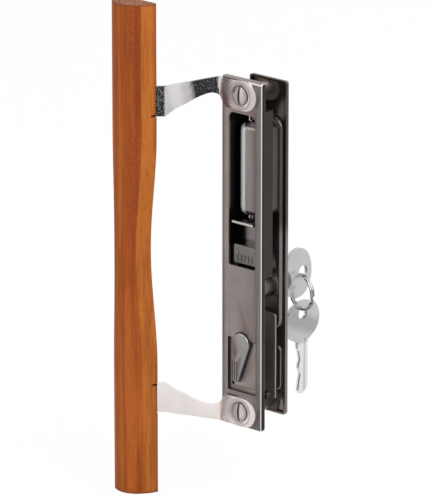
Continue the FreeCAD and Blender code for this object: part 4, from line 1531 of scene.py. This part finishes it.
@dataclass
class Keys(Assembly):
    """Two flat keys on a split ring of round wire."""

    thickness: float = 2.0
    head: float = 6.8
    bow: tuple[Point, Point, Point] = ((6.3, 5.6), (13.3, -4.6), (7.3, -13.4))
    shoulder: float = 15.2
    blade_half: float = 4.1
    blade: float = 28.2
    hole: float = 3.24
    cuts: Sequence[float] = (1.2, 2.1, 0.9, 2.4, 1.5)
    first_cut: float = 5.0
    cut_pitch: float = 4.2
    cut_flat: float = 0.4
    tip: Sequence[Point] = ((4.1, 3.0), (1.5, 0.0), (-1.9, 0.0), (-3.5, 2.0))
    groove: Point = (0.65, 1.95)
    groove_deep: float = 0.45
    groove_top: float = 1.3
    hole_y: float = 43.3
    spare_z: float = -42.6
    ring_z: float = -31.25
    ring_radius: float = 9.3
    ring_turn: float = -13.0
    wire: float = 1.2
    # The wire is drawn this much thinner all round, so that it clears the keys' holes at its limits.
    slack: float = 0.14
    bite: float = 0.08
    gap: float = 24.0

    def outline(self) -> list[Point]:
        """Key seen flat, its hole at the origin, blade down."""
        (ax, az), (bx, bz), (cx, cz) = self.bow
        neck, edge, flat = -self.shoulder, -self.blade_half, self.cut_flat
        points = arc_through((-ax, az), (0, self.head), (ax, az), 16)[:-1]
        points += arc_through((ax, az), (bx, bz), (cx, cz), 24)
        points += [(self.blade_half, neck)] + [(x, neck - self.blade + z) for x, z in self.tip]
        for i, cut in reversed(list(enumerate(self.cuts))):
            middle = neck - self.first_cut - i * self.cut_pitch
            points += [(edge + cut, middle - flat), (edge + cut, middle + flat)]
        points += [(edge, neck - self.first_cut + self.cuts[0] + flat), (edge, neck)]
        return points + arc_through((-cx, cz), (-bx, bz), (-ax, az), 24)[:-1]

    def blank(self) -> Form:
        """One key lying in X and Z, its faces towards Y, with its hole and a groove on each face."""
        half = self.thickness / 2
        form = Form.plate("key", self.outline(), -half, half)
        form.cut(Form.plate("hole", sweep((0, 0), self.hole, 0, 352, 44), -3, 3))
        left, right = self.groove
        for side in (-1, 1):
            low, high = sorted((side * (half + 1), side * (half - self.groove_deep)))
            form.cut(Form.box(
                "groove", (left, low, -self.shoulder - self.blade - 1), (right, high, self.groove_top - self.shoulder)
            ))
        return form.soften(0.22, 2, 40.0).smooth()

    def ring(self) -> Form:
        """Two close turns of round wire with a short crossing between them."""
        pitch = 100.0
        turns = 2.0 - self.gap / 360.0
        Form.clear()
        bpy.ops.mesh.primitive_circle_add(vertices=14, radius=(self.wire / 2 - self.slack) * MM, fill_type="NGON")
        form = Form("split_ring")
        form.reshape(lambda p: Vector((p.x + self.ring_radius, p.y, 0)))
        form.modify(
            "SCREW", angle=2 * math.pi * turns, screw_offset=pitch * turns * MM, steps=150, render_steps=150,
            axis="Z", use_smooth_shade=True, use_normal_calculate=True,
        )
        crossing = math.radians(self.gap)

        def squeeze(point: Vector) -> Vector:
            """Flatten the long helix to two close turns, level but for the crossing."""
            angle = math.atan2(point.y, point.x)
            total = angle + 2 * math.pi * round((point.z / pitch * 2 * math.pi - angle) / (2 * math.pi))
            local = point.z - pitch * total / (2 * math.pi)
            share = min(max((total - (2 * math.pi - crossing)) / crossing, 0.0), 1.0)
            level = (share * share * (3 - 2 * share) - 0.5) * (self.wire - self.bite)
            radius = math.hypot(point.x, point.y)
            return Vector((radius * math.cos(total), radius * math.sin(total), local + level))

        upright = Matrix.Rotation(math.radians(90), 3, "X")
        lean = Matrix.Rotation(math.radians(self.ring_turn), 3, "Z")
        spot = Vector((CYLINDER[0], self.hole_y, self.ring_z))
        form.reshape(squeeze).reshape(lambda p: lean @ (upright @ p) + spot)
        form.all_edit()
        return form.outward()

    def build(self) -> None:
        """Make one key, place its two copies, and hang the ring."""
        x, z = CYLINDER
        model = self.blank()
        spare = model.copy("key_spare")
        spare.reshape(lambda p: Vector((x - p.y, self.hole_y + p.x, self.spare_z + p.z)))
        self.fit(spare, "spare", Finish.KEY, "key_nickel", "spare_key")
        pushed = model.copy("key_in_lock")
        pushed.reshape(lambda p: Vector((x - p.y, self.hole_y + p.z, z - p.x)))
        self.fit(pushed, "plug", Finish.KEY, "key_nickel", "inserted_key")
        bpy.data.objects.remove(model.thing)
        self.fit(self.ring(), "ring", Finish.RING, "ring_steel", "key_ring")


# The studio, in metres and degrees

@dataclass(frozen=True)
class Lamp:
    """Soft square lamp that looks at the object."""

    name: str
    azimuth: float
    elevation: float
    distance: float
    size: float
    power: float


@dataclass
class Studio:
    """Pale floor, soft level light and the camera."""

    floor_z: float = -0.1305
    floor_size: float = 12.0
    aim: tuple[float, float, float] = (-0.01626, -0.0025, 0.00036)
    azimuth: float = 40.97
    elevation: float = 18.09
    distance: float = 2.667
    frame_height: float = 0.2514
    sensor: float = 36.0
    lamps: Sequence[Lamp] = (
        Lamp("key", 80.0, 42.0, 1.5, 1.2, 14.0),
        Lamp("fill", -35.0, 35.0, 1.8, 1.6, 8.0),
        Lamp("rim", 165.0, 40.0, 1.6, 1.2, 9.0),
    )
    world_light: float = 0.62

    @staticmethod
    def towards(azimuth: float, elevation: float) -> Vector:
        """Direction from the object towards a viewer."""
        a, e = math.radians(azimuth), math.radians(elevation)
        return Vector((math.sin(a) * math.cos(e), -math.cos(a) * math.cos(e), math.sin(e)))

    def camera(self) -> None:
        """Place the camera at the photograph's angle."""
        bpy.ops.object.camera_add()
        camera = bpy.context.object
        away = self.towards(self.azimuth, self.elevation)
        camera.location = Vector(self.aim) + away * self.distance
        camera.rotation_euler = away.to_track_quat("Z", "Y").to_euler()
        camera.data.sensor_width = self.sensor
        camera.data.lens = self.sensor * self.distance / self.frame_height
        camera.data.clip_start, camera.data.clip_end = 0.05, 50.0
        bpy.context.scene.camera = camera

    def light(self) -> None:
        """Place the soft lamps."""
        for lamp in self.lamps:
            away = self.towards(lamp.azimuth, lamp.elevation)
            bpy.ops.object.light_add(type="AREA", location=away * lamp.distance)
            thing = bpy.context.object
            thing.name = lamp.name
            thing.rotation_euler = away.to_track_quat("Z", "Y").to_euler()
            thing.data.size = lamp.size
            thing.data.energy = lamp.power

    @staticmethod
    def seen(tree: bpy.types.NodeTree) -> bpy.types.NodeSocket:
        """Share of rays that show the background itself.

        Args:
            tree: the tree that gets the nodes.

        Returns:
            The socket, 1 for camera, glossy and transmission rays.
        """
        path = tree.nodes.new("ShaderNodeLightPath")
        total = path.outputs["Is Camera Ray"]
        for name in ("Is Glossy Ray", "Is Transmission Ray"):
            node = tree.nodes.new("ShaderNodeMath")
            node.operation = "MAXIMUM"
            tree.links.new(total, node.inputs[0])
            tree.links.new(path.outputs[name], node.inputs[1])
            total = node.outputs[0]
        return total

    def world(self) -> None:
        """White behind the object, softer where it lights it."""
        world = bpy.data.worlds.new("studio")
        world.use_nodes = True
        bpy.context.scene.world = world
        tree = world.node_tree
        mix = tree.nodes.new("ShaderNodeMix")
        tree.links.new(self.seen(tree), mix.inputs[0])
        mix.inputs[2].default_value = self.world_light
        mix.inputs[3].default_value = 1.0
        ground = tree.nodes["Background"]
        ground.inputs["Color"].default_value = WHITE
        tree.links.new(mix.outputs[0], ground.inputs["Strength"])

    def floor(self) -> None:
        """Pale floor that shows white and keeps a soft shadow."""
        Form.clear()
        bpy.ops.mesh.primitive_plane_add(size=self.floor_size, location=(0, 0, self.floor_z))
        floor = bpy.context.object
        floor.name = "floor"
        s = Shader("pale_floor")
        s.set(Base_Color=(0.86, 0.86, 0.86, 1.0), Roughness=0.9, Specular_IOR_Level=0.1)
        glow = s.node("ShaderNodeEmission", {}, {"Color": WHITE, "Strength": 1.0})
        share = Num(s, self.seen(s.tree)) * 0.94
        mix = s.node("ShaderNodeMixShader", {}, {0: share, 1: s.surface.outputs[0], 2: glow.outputs[0]})
        s.feed(s.tree.nodes["Material Output"].inputs["Surface"], mix.outputs[0])
        floor.data.materials.append(s.material)

    def build(self) -> None:
        """Set up the whole studio."""
        bpy.context.scene.view_settings.view_transform = "Standard"
        self.camera()
        self.light()
        self.world()
        self.floor()


KEPT = {
    Finish.STEEL: (
        "lever_spindle", "spindle_clip", "crank_pin", "torsion_spring", "slide_link", "link_rivet",
        "cylinder_clip", "lock_cam", "plug_clip",
    ),
    Finish.DULL: ("lock_case",),
    Finish.INNER: ("slide_guide", "hook_bolt"),
    Finish.POST: ("upper_threaded_post", "lower_threaded_post"),
    Finish.CAST: ("indicator_flag",),
    Finish.SLIDE: ("thumb_slide",),
    Finish.BRASS: ("cylinder_plug", "wafer_tumblers"),
}


def main() -> None:
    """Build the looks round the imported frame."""
    logging.basicConfig(level=logging.INFO, format="%(message)s")
    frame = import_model()
    nodes = frame["nodes"]
    finishes = Finishes()
    for kind in (Pull, Brackets, Screws, InsidePlate, OutsidePlate, Lever, Cylinder, Keys):
        kind(finishes).build()
    rest = Assembly(finishes)
    for finish, names in KEPT.items():
        rest.keep(nodes, finish, *names)
    Studio().build()


if __name__ == "__main__":
    main()
